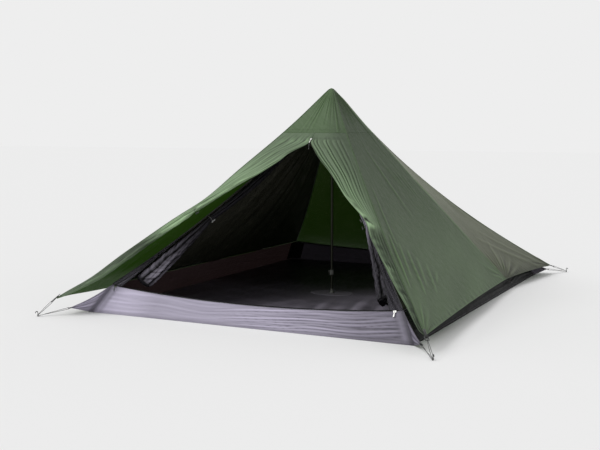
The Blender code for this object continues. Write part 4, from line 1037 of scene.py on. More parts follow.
@dataclass
class Cords:
    """The zip's cord, the corner straps and loops, the hem ties and what joins the two peaks."""

    knot: float = 0.00075
    steps: int = 24
    tie_radius: float = 0.0010

    def zip_cord(self) -> None:
        """The free cord on the fly's zip pull, and the knot that ends it."""
        fall = unit(front_point(0.045, 0.5) - front_point(0.0, 0.5))
        start = np.array(ZIP_PIVOT) + fall * (PULL_LENGTH + RUNNING_GAP)
        bend = start + fall * PULL_CORD_LENGTH * 0.3
        stop = bend - UP * PULL_CORD_LENGTH * 0.7
        share = np.linspace(0, 1, self.steps)[:, None]
        path = start * (1 - share) ** 2 + 2 * bend * share * (1 - share) + stop * share ** 2
        turn = circle(60)
        trefoil = np.stack([np.sin(turn) + 2 * np.sin(2 * turn), -np.sin(3 * turn),
                            np.cos(turn) - 2 * np.cos(2 * turn)], axis=-1)
        knot = tube_mesh("door_zip_knot", stop - UP * self.knot * 2 + trefoil * self.knot, 0.0010,
                         Finish.CORD_PALE, closed=True, sides=8)
        settle(knot, "grey_cord", body="door_pull")
        cord = tube_mesh("door_zip_cord_braid", path, 0.0011, Finish.CORD_PALE)
        settle(cord, "grey_cord", "door_zip_cord", body="door_pull")

    def corner(self, name: str) -> None:
        """The straps and elastic loops of both tents at one corner.

        Args:
            name: the corner's name.
        """
        side = CORNERS[name][0]
        peg, ear = ear_tip(CORNERS[name])
        tip = ear + UP * EAR_TIP_WIDTH / 2
        foot = np.array(FLY_RIBS[name].foot) - UP * FLY_THICKNESS / 2
        bar_radius = math.hypot(BUCKLE_BAR, BUCKLE_BAR) / 2 + RUNNING_GAP + CORD_RADIUS
        shank_radius = PEG_RADIUS + RUNNING_GAP + CORD_RADIUS
        for kind, start, off, size, rise, spin, wide, slot in (
                ("fly", foot, 0.0004, BUCKLE_LENGTH, CORD_SPACING, side, 0.0075, "dark_cord"),
                ("inner", tip, 0.0008, HOOK_LENGTH, 0.0, -side, 0.0042, "grey_cord")):
            shank = peg + UP * (CORD_LIFT + rise)
            along = unit(shank - start)
            across = unit(np.cross(UP, along))
            bar = start + along * (off + RUNNING_GAP + size - BUCKLE_BAR / 2)
            loop = twisted_loop(bar, bar_radius, across, shank, shank_radius, spin)
            cord = tube_mesh(f"{kind}_loop_{name}", loop, CORD_RADIUS, Finish.CORD_DARK, closed=True, sides=8)
            settle(cord, slot, f"{kind}_cord_{name}")
            ahead, high = np.transpose(STRAP_WRAP)[..., None]
            strap = start + along * (off + ahead) + np.cross(along, across) * high
            settle(tube_mesh(f"{kind}_strap_{name}", strap, wide, Finish.STRAP, flat=0.08), "webbing")

    def ties(self) -> None:
        """The ties from the middle of the side hems to the bathtub."""
        for name, side in SIDES.items():
            foot = np.array(FLY_RIBS["side_" + name].foot)
            start = foot - UP * (FLY_THICKNESS + RUNNING_GAP + self.tie_radius)
            edge = INNER_HALF[0] + RUNNING_GAP + 2 * self.tie_radius
            path = np.linspace(start, np.array([side * edge, foot[1] + 0.25, 2 * self.tie_radius]), 8)
            tie = tube_mesh("hem_tie_" + name + "_braid", path, self.tie_radius, Finish.CORD_DARK, sides=8)
            settle(tie, "dark_cord", "hem_tie_" + name)

    def peak(self) -> None:
        """The cup that the pole stands in, and the strap from it to the inner tent."""
        sides = 84
        places = np.linspace(0, len(RIB_ORDER), sides, endpoint=False)
        rings = []
        for depth in CUP_DEPTHS:
            ribs = [FLY_RIBS[name] for name in (*RIB_ORDER, RIB_ORDER[0])]
            corners = np.array([rib.at(rib.share_at(PEAK_HEIGHT - depth)) for rib in ribs])
            ring = np.stack([np.interp(places, range(len(ribs)), axis) for axis in corners.T], axis=-1)
            rings.append(ring - UP * 0.0033)
        low, high = (np.array(corner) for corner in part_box("pole_tip"))
        turn = np.arctan2(rings[0][:, 1] - AXIS[1], rings[0][:, 0])[:, None]
        round_ring = ((high - low)[0] / 2 + RUNNING_GAP) * (RIGHT * np.cos(turn) + BACK * np.sin(turn)) + AXIS
        for height in (rings[-1][0, 2], high[2] + RUNNING_GAP):
            rings.append(round_ring + UP * height)
        cup = mesh_object("peak_cup_cloth", np.concatenate(rings), ring_faces(len(rings), sides),
                          [Finish.BAND])
        right_way_out(cup)
        settle(cup, "fly_cloth", "peak_cup")
        top = AXIS + BACK * HANGER_BACK + UP * (PEAK_HEIGHT - CUP_DEPTHS[-1] - RUNNING_GAP)
        strap = tube_mesh("peak_hanger_strap", np.linspace(top, top - UP * HANGER_LENGTH, 10), 0.0050,
                          Finish.STRAP, flat=0.45)
        settle(strap, "webbing", "peak_hanger")

    def build(self) -> None:
        """Makes them all, the free cord first."""
        self.zip_cord()
        for name in CORNERS:
            self.corner(name)
        self.ties()
        self.peak()


# Rows of stitches and teeth


class RowKind(Enum):
    """What is repeated along a row: spacing, length, width and height of one piece, in metres."""

    STITCH = (0.0052, 0.0036, 0.0008, 0.0007)
    ZIP_TOOTH = (0.0016, 0.0009, 0.0030, 0.0012)


class RowTree:
    """A Geometry Nodes tree that sets small blocks along a path that carries its normals."""

    SIZES = ("Spacing", "Length", "Width", "Height")
    NODES = {
        "entry": ("NodeGroupInput", {}),
        "curve": ("GeometryNodeMeshToCurve", {}),
        "spaced": ("GeometryNodeResampleCurve", {"mode": "LENGTH"}),
        "points": ("GeometryNodeInstanceOnPoints", {}),
        "size": ("ShaderNodeCombineXYZ", {}),
        "block": ("GeometryNodeMeshCube", {}),
        "tangent": ("GeometryNodeInputTangent", {}),
        "facing": ("GeometryNodeInputNamedAttribute", {"data_type": "FLOAT_VECTOR"}),
        "turn": ("FunctionNodeAxesToRotation", {"primary_axis": "X", "secondary_axis": "Z"}),
        "real": ("GeometryNodeRealizeInstances", {}),
        "paint": ("GeometryNodeSetMaterial", {}),
        "leave": ("NodeGroupOutput", {}),
    }
    LINKS = (
        ("entry", "Path", "curve", "Mesh"), ("curve", "Curve", "spaced", "Curve"),
        ("entry", "Spacing", "spaced", "Length"), ("spaced", "Curve", "points", "Points"),
        ("entry", "Length", "size", "X"), ("entry", "Width", "size", "Y"), ("entry", "Height", "size", "Z"),
        ("size", "Vector", "block", "Size"), ("block", "Mesh", "points", "Instance"),
        ("tangent", "Tangent", "turn", "Primary Axis"), ("facing", "Attribute", "turn", "Secondary Axis"),
        ("turn", "Rotation", "points", "Rotation"), ("points", "Instances", "real", "Geometry"),
        ("real", "Geometry", "paint", "Geometry"), ("entry", "Finish", "paint", "Material"),
        ("paint", "Geometry", "leave", "Row"),
    )

    def __init__(self) -> None:
        """Builds the tree once, with a named input for each size."""
        self.tree = bpy.data.node_groups.new("row_of_blocks", "GeometryNodeTree")
        entries = (("Path", "Geometry"), *((size, "Float") for size in self.SIZES), ("Finish", "Material"))
        face = self.tree.interface
        self.inputs = {name: face.new_socket(name, in_out="INPUT", socket_type="NodeSocket" + kind).identifier
                       for name, kind in entries}
        face.new_socket("Row", in_out="OUTPUT", socket_type="NodeSocketGeometry")
        nodes = {}
        for name, (kind, settings) in self.NODES.items():
            nodes[name] = self.tree.nodes.new(kind)
            for key, value in settings.items():
                setattr(nodes[name], key, value)
        nodes["facing"].inputs["Name"].default_value = "facing"
        for start, output, stop, entry in self.LINKS:
            self.tree.links.new(nodes[start].outputs[output], nodes[stop].inputs[entry])

    def row(self, name: str, paths: Sequence[Pair], kind: RowKind, finish: Finish, slot: str) -> None:
        """Makes one piece of the tent, a plain mesh, from the rows along some paths.

        Args:
            name: the piece's name.
            paths: (points, normals) of each path.
            kind: what is repeated.
            finish: its finish.
            slot: the record's material slot.
        """
        edges, start = [], 0
        for path, _ in paths:
            edges += [(start + step, start + step + 1) for step in range(len(path) - 1)]
            start += len(path)
        mesh = bpy.data.meshes.new(name + "_path")
        mesh.from_pydata(np.concatenate([path for path, _ in paths]).tolist(), edges, [])
        facing = mesh.attributes.new("facing", "FLOAT_VECTOR", "POINT")
        normals = np.concatenate([normals for _, normals in paths])
        facing.data.foreach_set("vector", np.asarray(normals, np.float32).ravel())
        line = link_object(name + "_path", mesh)
        step = line.modifiers.new("row", "NODES")
        step.node_group = self.tree
        for size, value in zip(self.SIZES, kind.value):
            step[self.inputs[size]] = value
        step[self.inputs["Finish"]] = finish.material()
        graph = bpy.context.evaluated_depsgraph_get()
        made = bpy.data.meshes.new_from_object(line.evaluated_get(graph), depsgraph=graph)
        made.name = name
        bpy.data.objects.remove(line)
        settle(link_object(name, made), slot)


# Folds


@dataclass(frozen=True)
class CreaseFan:
    """Creases that spread over cloth from the foot of a rib, where it is pulled."""

    rib: str
    reach: float
    depth: float
    seed: int
    count: float = 5.0

    def lift(self, grid: Array, centre: Array) -> Array:
        """How far the creases lift each point of a grid.

        Args:
            grid: the cloth's points.
            centre: a point on its inner side.

        Returns:
            One height for each point.
        """
        tip = np.array(FLY_RIBS[self.rib].foot)
        gap = np.linalg.norm(grid - tip, axis=-1)
        near = np.unravel_index(np.argmin(gap), gap.shape)
        normal = grid_normals(grid, centre)[near]
        first = np.array(PEAK) - tip
        first = unit(first - normal * float(first @ normal))
        second = np.cross(normal, first)
        offset = grid - tip
        angle = np.arctan2(offset @ second, offset @ first)
        turn = angle / (2 * math.pi) * self.count * 4
        wave = ripple(turn, self.seed, ((1.0, 1.0), (1.63, 0.7), (2.4, 0.4)))
        length = self.reach * (0.75 + 0.35 * ripple(angle, self.seed + 1, ((1.3, 1.0), (2.9, 0.6))))
        cover = fade(gap, 0.02, 0.10 + 0.1 * self.reach)
        cover = cover * (1 - fade(gap / np.maximum(length, 0.05), 0.35, 1.0))
        return self.depth * sharp(wave, 0.7) * cover


@dataclass(frozen=True)
class Fold:
    """A single long fold, placed by down and across shares of the cloth it lies on."""

    start: tuple[float, float]
    stop: tuple[float, float]
    width: float
    height: float

    def lift(self, grid: Array) -> Array:
        """How far the fold lifts each point of a panel of two gores.

        Args:
            grid: the cloth's points.

        Returns:
            One height for each point.
        """
        rows, columns = grid.shape[:2]
        places = np.linspace(0, 1, 201)
        ends = []
        for down, across in (self.start, self.stop):
            gore = min(int(2 * across), 1)
            column = (gore + float(np.interp(2 * across - gore, crowded(places), places))) * (columns - 1) / 2
            ends.append(grid[round(down * (rows - 1)), round(column)])
        line = ends[1] - ends[0]
        share = ((grid - ends[0]) @ line) / float(line @ line)
        gap = np.linalg.norm(grid - ends[0] - np.clip(share, 0, 1)[..., None] * line, axis=-1)
        taper = np.sin(math.pi * np.clip(0.04 + 0.92 * share, 0, 1)) ** 0.7
        return self.height * np.exp(-(gap / self.width) ** 2) * taper


def peak_pleats(points: Array, depth: float = 0.0095, reach: float = 0.8) -> Array:
    """The fine pleats that run down from the peak.

    Args:
        points: the cloth's points.
        depth: the deepest pleat.
        reach: how far down they go.

    Returns:
        One height for each point.
    """
    offset = points - np.array(PEAK)
    gap = np.linalg.norm(offset, axis=-1)
    angle = np.arctan2(offset[..., 1], offset[..., 0]) / (2 * math.pi)
    wave = ripple(angle, 7, ((31, 0.7), (47, 1.0), (64, 0.9), (97, 0.6), (17, 0.4)))
    length = reach * (0.55 + 0.45 * ripple(angle, 9, ((9, 1.0), (19, 0.8), (33, 0.5))))
    cover = fade(gap, 0.015, 0.14) * (1 - fade(gap / np.maximum(length, 0.1), 0.25, 1.0))
    return depth * (sharp(wave, 0.75) - 0.3) * cover


# The fly


@dataclass
class Fly:
    """The outer tent: peak cap, three closed sides and the two door halves."""

    columns: int = 110
    rows: int = 200
    cap_columns: int = 60
    hollow: float = 0.018
    seams: list[Pair] = field(default_factory=list)
    ties: dict[str, tuple[Array, Array, Array]] = field(default_factory=dict)

    def gores(self, names: Sequence[str], arch: float) -> Array:
        """The cloth stretched over a row of ribs, from the cap's seam to the hem.

        Args:
            names: the ribs in order.
            arch: how far the hem arches up between two ribs, as a share.

        Returns:
            Rows and columns of points.
        """
        down = np.linspace(0, 1, self.rows)[:, None]
        across = crowded(np.linspace(0, 1, self.columns + 1))[None, :]
        arc = 4 * across * (1 - across)
        parts = []
        for pair in zip(names, names[1:]):
            ends = []
            for rib in (FLY_RIBS[name] for name in pair):
                start = rib.share_at(SEAM_HEIGHT - SEAM_GAP)
                share = start + (1 - arch * arc - start) * down
                ends.append(rib.at(share) + rib.slack(share))
            points = ends[0] + (ends[1] - ends[0]) * across[..., None]
            points = points + inward(points) * (self.hollow * arc * hump(down))[..., None]
            parts.append(points if pair[1] == names[-1] else points[:, :-1])
        return np.concatenate(parts, axis=1)

    def panel(self, name: str, ribs: Sequence[str], arch: float, grain: Pair, fans: Sequence[CreaseFan],
              folds: Sequence[Fold], seed: int, finish: Finish) -> None:
        """One closed side of the fly.

        Args:
            name: the CAD node that it stands for.
            ribs: its three ribs in order.
            arch: the hem's arch, as a share.
            grain: the two directions of the weave.
            fans: where creases spread from.
            folds: single long folds.
            seed: fixes the slack in the cloth.
            finish: the finish outside.
        """
        grid = self.gores(ribs, arch)
        for _ in range(14):
            near = grid[:, self.columns - 10:self.columns + 11]
            grid[:, self.columns - 9:self.columns + 10] = (near[:, :-2] + 2 * near[:, 1:-1] + near[:, 2:]) / 4
        down = np.linspace(0, 1, grid.shape[0])[:, None]
        across = np.linspace(0, 1, grid.shape[1])[None, :]
        inset = np.minimum(across, 1 - across)
        slack = ripple(across * 2.1 + down * 0.9, seed, ((1.0, 1.0), (2.3, 0.6), (3.7, 0.4)))
        slack = slack * ripple(down * 1.4 - across * 0.7, seed + 1, ((1.0, 1.0), (1.9, 0.6)))
        lift = 0.009 * slack * fade(inset, 0, 0.05) * fade(down, 0.1, 0.6) + peak_pleats(grid)
        lift = lift + sum(fan.lift(grid, AXIS) for fan in fans) + sum(fold.lift(grid) for fold in folds)
        hem = np.linalg.norm(grid - grid[-1:], axis=-1)
        lift = lift * fade(inset, 0, 0.015) + 0.0009 * (1 - fade(hem, 0.010, 0.014))
        pucker = 0.0018 * ripple(across * 70, seed + 5, ((1.0, 1.0), (1.7, 0.8)))
        lift = lift + pucker * (1 - fade(hem, 0.012, 0.07)) * fade(hem, 0.0, 0.01)
        # Painted light and shade: levels down the front and rear gores, and painted highlights along the
        # crease between them and beside the front ridge
        front = (1 - fade(across, 0.46, 0.50)) * (finish is Finish.FLY_SIDE)
        painted_light = levels(down, SIDE_PAINTED_LIGHT) * front + levels(down, REAR_PAINTED_LIGHT) * (1 - front)
        if finish is Finish.FLY_SIDE:
            painted_light = painted_light + 0.35 * bell(across, 0.498, 0.016) * (1 - 0.6 * down)
            painted_light = painted_light + 0.10 * bell(across, 0, 0.05) * fade(down, 0.05, 0.2)
        sheet = Sheet(name + "_cloth", grid, AXIS, grain=grain, lift=lift, rests_on=("pole_tip",),
                      finishes=(finish, Finish.FLY_IN), painted_light=painted_light)
        shaped = sheet.shaped()
        normals = grid_normals(shaped, AXIS)
        row = int(np.argmax(hem[:, grid.shape[1] // 4] < 0.012))
        self.seams.append((shaped[row] + normals[row] * THREAD_LIFT, normals[row]))
        sheet.build(name)

    def panels(self) -> None:
        """The left, right and back sides."""
        folds = [Fold((0.16 + 0.03 * step, 0.30 + 0.028 * step), (0.34 + 0.02 * step, 0.33 + 0.02 * step),
                      0.007, 0.0035) for step in range(5)]
        folds += [Fold((0.55 + 0.05 * step, 0.035 + 0.030 * step),
                       (stop + 0.025 * step, 0.020 + 0.026 * step), 0.010, size)
                  for step, (stop, size) in enumerate(((0.80, 0.010), (0.74, 0.006), (0.81, 0.008),
                                                       (0.76, 0.004), (0.78, 0.006), (0.72, 0.003)))]
        folds += [Fold((0.10, 0.20), (0.50, 0.26), 0.014, 0.005),
                  Fold((0.30, 0.06), (0.62, 0.05), 0.012, 0.005),
                  Fold((0.72, 0.62), (0.99, 0.90), 0.020, 0.006),
                  Fold((0.66, 0.75), (0.98, 0.95), 0.016, 0.005)]
        for name, side in SIDES.items():
            names = ("front_" + name, "side_" + name, "back_" + name)
            fans = [CreaseFan(names[0], 0.50, 0.0050, 21 + side, 6.0),
                    CreaseFan(names[1], 0.46, 0.0070, 31 + side, 5.0),
                    CreaseFan(names[2], 0.60, 0.0070, 41 + side, 6.0)]
            grain = (BACK, np.array([side * 0.66, 0.0, -0.75]))
            self.panel(f"fly_{name}_panel", names, 0.006, grain, fans, folds, 50 + side, Finish.FLY_SIDE)
        names = ("back_right", "back_middle", "back_left")
        fans = [CreaseFan("back_right", 0.6, 0.007, 61, 6.0),
                CreaseFan("back_left", 0.6, 0.007, 62, 6.0)]
        back_folds = (Fold((0.25, 0.30), (0.80, 0.18), 0.018, 0.007),
                      Fold((0.30, 0.62), (0.85, 0.80), 0.018, 0.007))
        grain = (RIGHT, np.array([0.0, 0.75, -0.66]))
        self.panel("fly_back_panel", names, 0.030, grain, fans, back_folds, 63, Finish.FLY_BACK)

    def cap(self) -> None:
        """The peak cap, which laps over the panels below its seam."""
        step = self.cap_columns
        down = np.concatenate([np.linspace(0.012, 0.12, 8)[:-1], np.linspace(0.12, 1.026, 60)])[:, None]
        fans = ((0.0, 0.0), (0.0, 0.5), (0.5, 1.0), (1.0, 1.0), (1.0, 1.0), (1.0, 0.5), (0.5, 0.0))
        turns = np.concatenate([np.linspace(*pair, step, endpoint=False) for pair in fans])
        across = np.linspace(0, 1, step, endpoint=False)[None, :, None]
        lines = [rib.at(rib.share_at(SEAM_HEIGHT) * down) for rib in (FLY_RIBS[name] for name in RIB_ORDER)]
        ring = np.concatenate([first + (second - first) * across
                               for first, second in zip(lines, lines[1:] + lines[:1])], axis=1)
        for _ in range(3):
            ring = (np.roll(ring, 1, axis=1) + 6 * ring + np.roll(ring, -1, axis=1)) / 8
        rows, columns = ring.shape[:2]
        wrapped = np.concatenate([ring, ring[:, :1]], axis=1)
        normals = grid_normals(wrapped, AXIS)
        front = np.arange(columns) < step
        lap = 0.0009 * fade(down, 0.96, 0.99) * np.append(np.where(front, 1.0, 0.25), 1.0)
        outer = (wrapped + normals * (peak_pleats(wrapped) + lap)[..., None])[:, :-1]
        normals = normals[:, :-1]
        points = np.concatenate([outer.reshape(-1, 3), (outer - normals * FLY_CLOTH).reshape(-1, 3)])
        shift = rows * columns
        *quads, top, rim = ring_faces(rows, columns)
        faces = quads + (np.array(quads)[:, ::-1] + shift).tolist()
        faces += [[there, here, shift + here, shift + there] for there, here in zip(rim, rim[1:] + rim[:1])]
        faces += [top, [shift + number for number in top[::-1]]]
        slots = np.concatenate([np.where(np.tile(front, rows - 1), 0, 2), np.ones(len(quads)),
                                np.zeros(len(faces) - 2 * len(quads))])
        # Painted light and shade: levels round the front, the side and rear gores' top levels, and a painted
        # highlight on the crease
        rear = fade(turns, 0.46, 0.50)
        painted_light = np.where(front, levels(np.arange(columns) / step, CAP_PAINTED_LIGHT),
                        SIDE_PAINTED_LIGHT[0][1] * (1 - rear) + REAR_PAINTED_LIGHT[0][1] * rear)
        maps = {"Cloth": paired(ring[..., 0] + ring[..., 1], ring[..., 2] * 1.2),
                "Fan": paired(turns[None, :], down - 1),
                "Shade": paired(crest_share(outer, normals, 5), painted_light + 0.3 * bell(turns, 0.5, 0.02))}
        obj = mesh_object("peak_cap_cloth", points, [face[::-1] for face in faces],
                          (Finish.FLY_OUT, Finish.FLY_IN, Finish.FLY_SIDE), slots,
                          {layer: np.concatenate([values] * 2) for layer, values in maps.items()})
        settle(obj, "fly_cloth", "peak_cap")
        declare_sheet(wrapped)
        for row in (-3, -6):
            facing = normals[row][:step + 1]
            self.seams.append((outer[row][:step + 1] + facing * THREAD_LIFT, facing))

    def door(self, name: str, radius: Array, columns: int,
             lift: Callable[[Array, Array, Array], Array]) -> None:
        """A door half: cloth from its ridge to the roll along its free edge.

        Args:
            name: left or right.
            radius: the roll's radius at each row.
            columns: columns of points between the ridge and the roll.
            lift: gives how far the cloth stands off the face, from down shares, gaps to the edge and widths.
        """
        down, ridge = self.door_rows(), max(SIDES[name], 0)
        edge = smooth_through(DOOR_EDGE[name], down)
        whole = front_point(down, ridge) - front_point(down, edge)
        width = np.linalg.norm(whole, axis=-1)
        radius = np.minimum(radius, 0.32 * width)
        turns = np.linspace(0, 1.28, 17)[None, 1:]
        gap = width + (radius - width) * np.linspace(0, 1, columns)[None, :]
        high = radius * fade(1 - (gap - radius) / (2.4 * radius), 0, 1)
        stand = lift(down, gap, width)
        lumps = 1 + 0.10 * ripple(turns * 0.9 + down * 2.2, 74, ((2.0, 1.0), (3.3, 0.8)))
        reach = radius * (1 - 0.10 * turns) * lumps
        gaps = np.concatenate([gap, radius - reach * hump(turns)], axis=1)
        highs = np.concatenate([high + stand, reach * np.cos(math.pi * turns) + stand[:, -1:]], axis=1)
        points = front_point(down, edge)[:, 0][:, None] + unit(whole) * gaps[..., None]
        rib = FLY_RIBS["front_" + name]
        start = rib.share_at(SEAM_HEIGHT - SEAM_GAP)
        points = points + rib.slack(start + (DOOR_CORNER - start) * down) * (gaps / width)[..., None] ** 2
        face = front_point(down, np.linspace(0, 1, 3)[None, :] * (edge - ridge) + ridge)
        normals = grid_normals(face, AXIS)[:, 1]
        self.ties[name] = (points[:, columns - 1] + normals * stand[:, -1:], normals, radius[:, 0])
        # Painted light and shade down the door half; the right half is drawn darker towards its ridge
        painted_light = levels(down, DOOR_PAINTED_LIGHT[name]) * (1 - 0.42 * ridge * fade(gaps / width, 0.25, 0.9))
        Sheet(f"fly_door_{name}_cloth", points + normals[:, None] * highs[..., None], AXIS,
              grain=(RIGHT, np.array([0.0, -0.72, -0.69])), finishes=(Finish.FLY_DOOR, Finish.FLY_IN),
              held="gathered", rests_on=("door_toggle_" + name,), painted_light=painted_light).build("fly_door_" + name)

    def door_rows(self) -> Array:
        """The down shares of a door half's rows, a little past the CAD cloth into the corner."""
        return np.linspace(0, DOOR_END, self.rows)[:, None]

    def left_door(self) -> None:
        """The left door half: a flat strip beside the ridge with its rolled edge tied under it."""
        down = self.door_rows()
        tie = 1 - 0.55 * bell(down, LEFT_TIE_DOWN, 0.02)
        swell = 1 + 0.16 * ripple(down, 71, ((7, 1.0), (13, 0.7), (19, 0.5)))
        radius = (0.0012 + 0.0125 * fade(down, 0.05, 0.40)) * tie * swell * (1 - 0.75 * fade(down, 0.9, 1.0))

        def lift(rows: Array, gap: Array, width: Array) -> Array:
            """The crease beside the roll, the folds that gather at the tie, and soft slack."""
            share = 1 - gap / width
            away = bell(rows, LEFT_TIE_DOWN, 0.11)
            pitch = 0.055 + 0.35 * np.abs(rows - LEFT_TIE_DOWN)
            pleats = 0.006 * away * sharp(ripple(gap / pitch, 75, ((1.6, 1.0), (2.7, 0.8))))
            crease = 0.0045 * bell(share - 0.50, 0.06 * np.sin(9 * rows), 0.07) * fade(rows, 0.15, 0.35)
            slack = 0.0022 * ripple(rows * 0.9 + share * 0.5, 72, ((9, 1.0), (17, 0.8), (31, 0.5)))
            top = 0.006 * sharp(ripple(share * 0.9 + 0.15 * rows, 76, ((3.0, 1.0), (5.2, 0.8))), 0.7)
            top = top * (1 - fade(rows, 0.15, 0.45)) * fade(rows, 0.0, 0.06)
            body = (pleats + crease + slack + top) * fade(share, 0.02, 0.25)
            return body * fade(rows, 0.0, 0.06) * (1 - fade(rows, 0.93, 1.0))

        self.door("left", radius, 90, lift)

    def right_door(self) -> None:
        """The right door half: gathered in long pleats down to the toggle, and rolled below it."""
        down = self.door_rows()
        tie = 1 - 0.5 * bell(down, TOGGLE_DOWN, 0.018)
        swell = 1 + 0.18 * ripple(down, 83, ((8, 1.0), (14, 0.8), (23, 0.5)))
        radius = (0.0012 + 0.0135 * fade(down, 0.10, 0.52)) * tie * swell * (1 - 0.75 * fade(down, 0.9, 1.0))

        def lift(rows: Array, gap: Array, width: Array) -> Array:
            """Long pleats beside the edge that close up at the toggle, and the twisted folds of the roll."""
            share = 1 - gap / width
            loose = np.clip((rows - 0.04) / (TOGGLE_DOWN - 0.04), 0, 1)
            pitch = width / 8.5
            drift = 0.30 * ripple(rows, 81, ((1.7, 1.0), (3.1, 0.6)))
            drift = drift + 0.12 * ripple(gap / pitch, 86, ((0.4, 1.0),))
            crest = np.abs(hump((gap / width) ** 0.9 * 8.5 + drift)) ** 0.8
            gather = hump(loose ** 0.8) ** 0.6
            uneven = 0.65 + 0.35 * ripple(gap / pitch, 85, ((0.31, 1.0), (0.53, 0.8)))
            pleats = 0.58 * np.minimum(pitch, 0.022) * (crest - 0.3) * uneven * gather * fade(share, 0.0, 0.3)
            soft = 0.004 * sharp(ripple(gap / 0.09 + 0.4 * rows, 82, ((1.0, 1.0), (1.8, 0.7))), 0.8) * gather
            below = fade(rows, TOGGLE_DOWN - 0.01, TOGGLE_DOWN + 0.05)
            twist = np.abs(hump(gap / 0.017 + 5.5 * rows)) ** 0.7
            swing = 0.6 + 0.4 * ripple(rows * 1.1, 84, ((7, 1.0), (12, 0.7)))
            strands = 0.0062 * (twist - 0.4) * swing * below
            body = (pleats + soft + strands) * fade(share, 0.03, 0.2) * (1 - fade(rows, 0.95, 1.01))
            return body * (1 - 0.35 * bell(rows, TOGGLE_DOWN, 0.012))

        self.door("right", radius, 150, lift)

    def tie_loops(self) -> None:
        """The elastic loops round the rolled door halves at their toggles."""
        for name, place in (("left", LEFT_TIE_DOWN), ("right", TOGGLE_DOWN)):
            line, normals, radii = self.ties[name]
            row = round(place / DOOR_END * (self.rows - 1))
            side = np.cross(unit(line[row + 3] - line[row - 3]), normals[row])
            loop = round_loop(line[row], radii[row] + 0.0022, side, normals[row], 36)
            cord = tube_mesh("door_tie_" + name, loop, 0.0011, Finish.CORD_DARK, closed=True, sides=8)
            settle(cord, "dark_cord")

    def ridge_seams(self) -> None:
        """The felled seams along the four ridges, each a low band across the fold."""
        points, faces, weaves, painted_lights = [], [], [], []
        shares = np.linspace(0.012, 0.997, 150)
        half, rise = 0.0055, 0.0008
        for name, *others in (("front_left", "side_left", "front_right"),
                              ("front_right", "front_left", "side_right"),
                              ("back_right", "side_right", "back_middle"),
                              ("back_left", "side_left", "back_middle")):
            rib = FLY_RIBS[name]
            line = rib.at(shares) + rib.slack(shares)
            tangent = unit(np.gradient(line, axis=0))
            sides = []
            for other in others:
                toward = FLY_RIBS[other].at(shares) - line
                sides.append(unit(toward - tangent * np.sum(toward * tangent, axis=-1, keepdims=True)))
            facing = -unit(sides[0] + sides[1])
            facing = np.where(facing[:, 2:] < 0, -facing, facing)
            flanks = []
            for side in sides:
                normal = unit(np.cross(tangent, side))
                normal = np.where(np.sum(normal * facing, axis=-1, keepdims=True) < 0, -normal, normal)
                flanks.append([side * half + normal * THREAD_LIFT, side * half + normal * rise,
                               side * half * 0.3 + normal * (rise + 0.0003)])
                self.seams.append((line + side * (half * 0.72) + normal * (rise + 0.0003), normal))
            section = [*flanks[0], facing * (rise + 0.0004), *flanks[1][::-1], facing * -0.0004]
            start = sum(map(len, points))
            faces += [[start + number for number in face] for face in ring_faces(len(line), len(section))]
            points.append(np.stack([line + offset for offset in section], axis=1).reshape(-1, 3))
            weaves.append(paired(np.linspace(0, 0.013, len(section))[None, :], reach_along(line)[:, None]))
            # Painted light: the front ridges' seams are drawn darker than the back ones
            painted_lights.append(np.broadcast_to((0.5, 0.6 if name.startswith("front") else 0.9), weaves[-1].shape))
        obj = mesh_object("ridge_seams", np.concatenate(points), faces, [Finish.FLY_OUT], None,
                          {"Cloth": np.concatenate(weaves), "Shade": np.concatenate(painted_lights)})
        right_way_out(obj)
        settle(obj, "fly_cloth")

    def build(self, rows: RowTree) -> None:
        """Makes the whole fly."""
        self.cap()
        self.panels()
        self.left_door()
        self.right_door()
        self.tie_loops()
        self.ridge_seams()
        rows.row("fly_stitches", self.seams, RowKind.STITCH, Finish.THREAD, "fly_cloth")


def right_way_out(obj: Piece) -> None:
    """Turns a mesh's faces outwards."""
    shape = bmesh.new()
    shape.from_mesh(obj.data)
    bmesh.ops.recalc_face_normals(shape, faces=shape.faces)
    shape.to_mesh(obj.data)
    shape.free()


# The inner tent


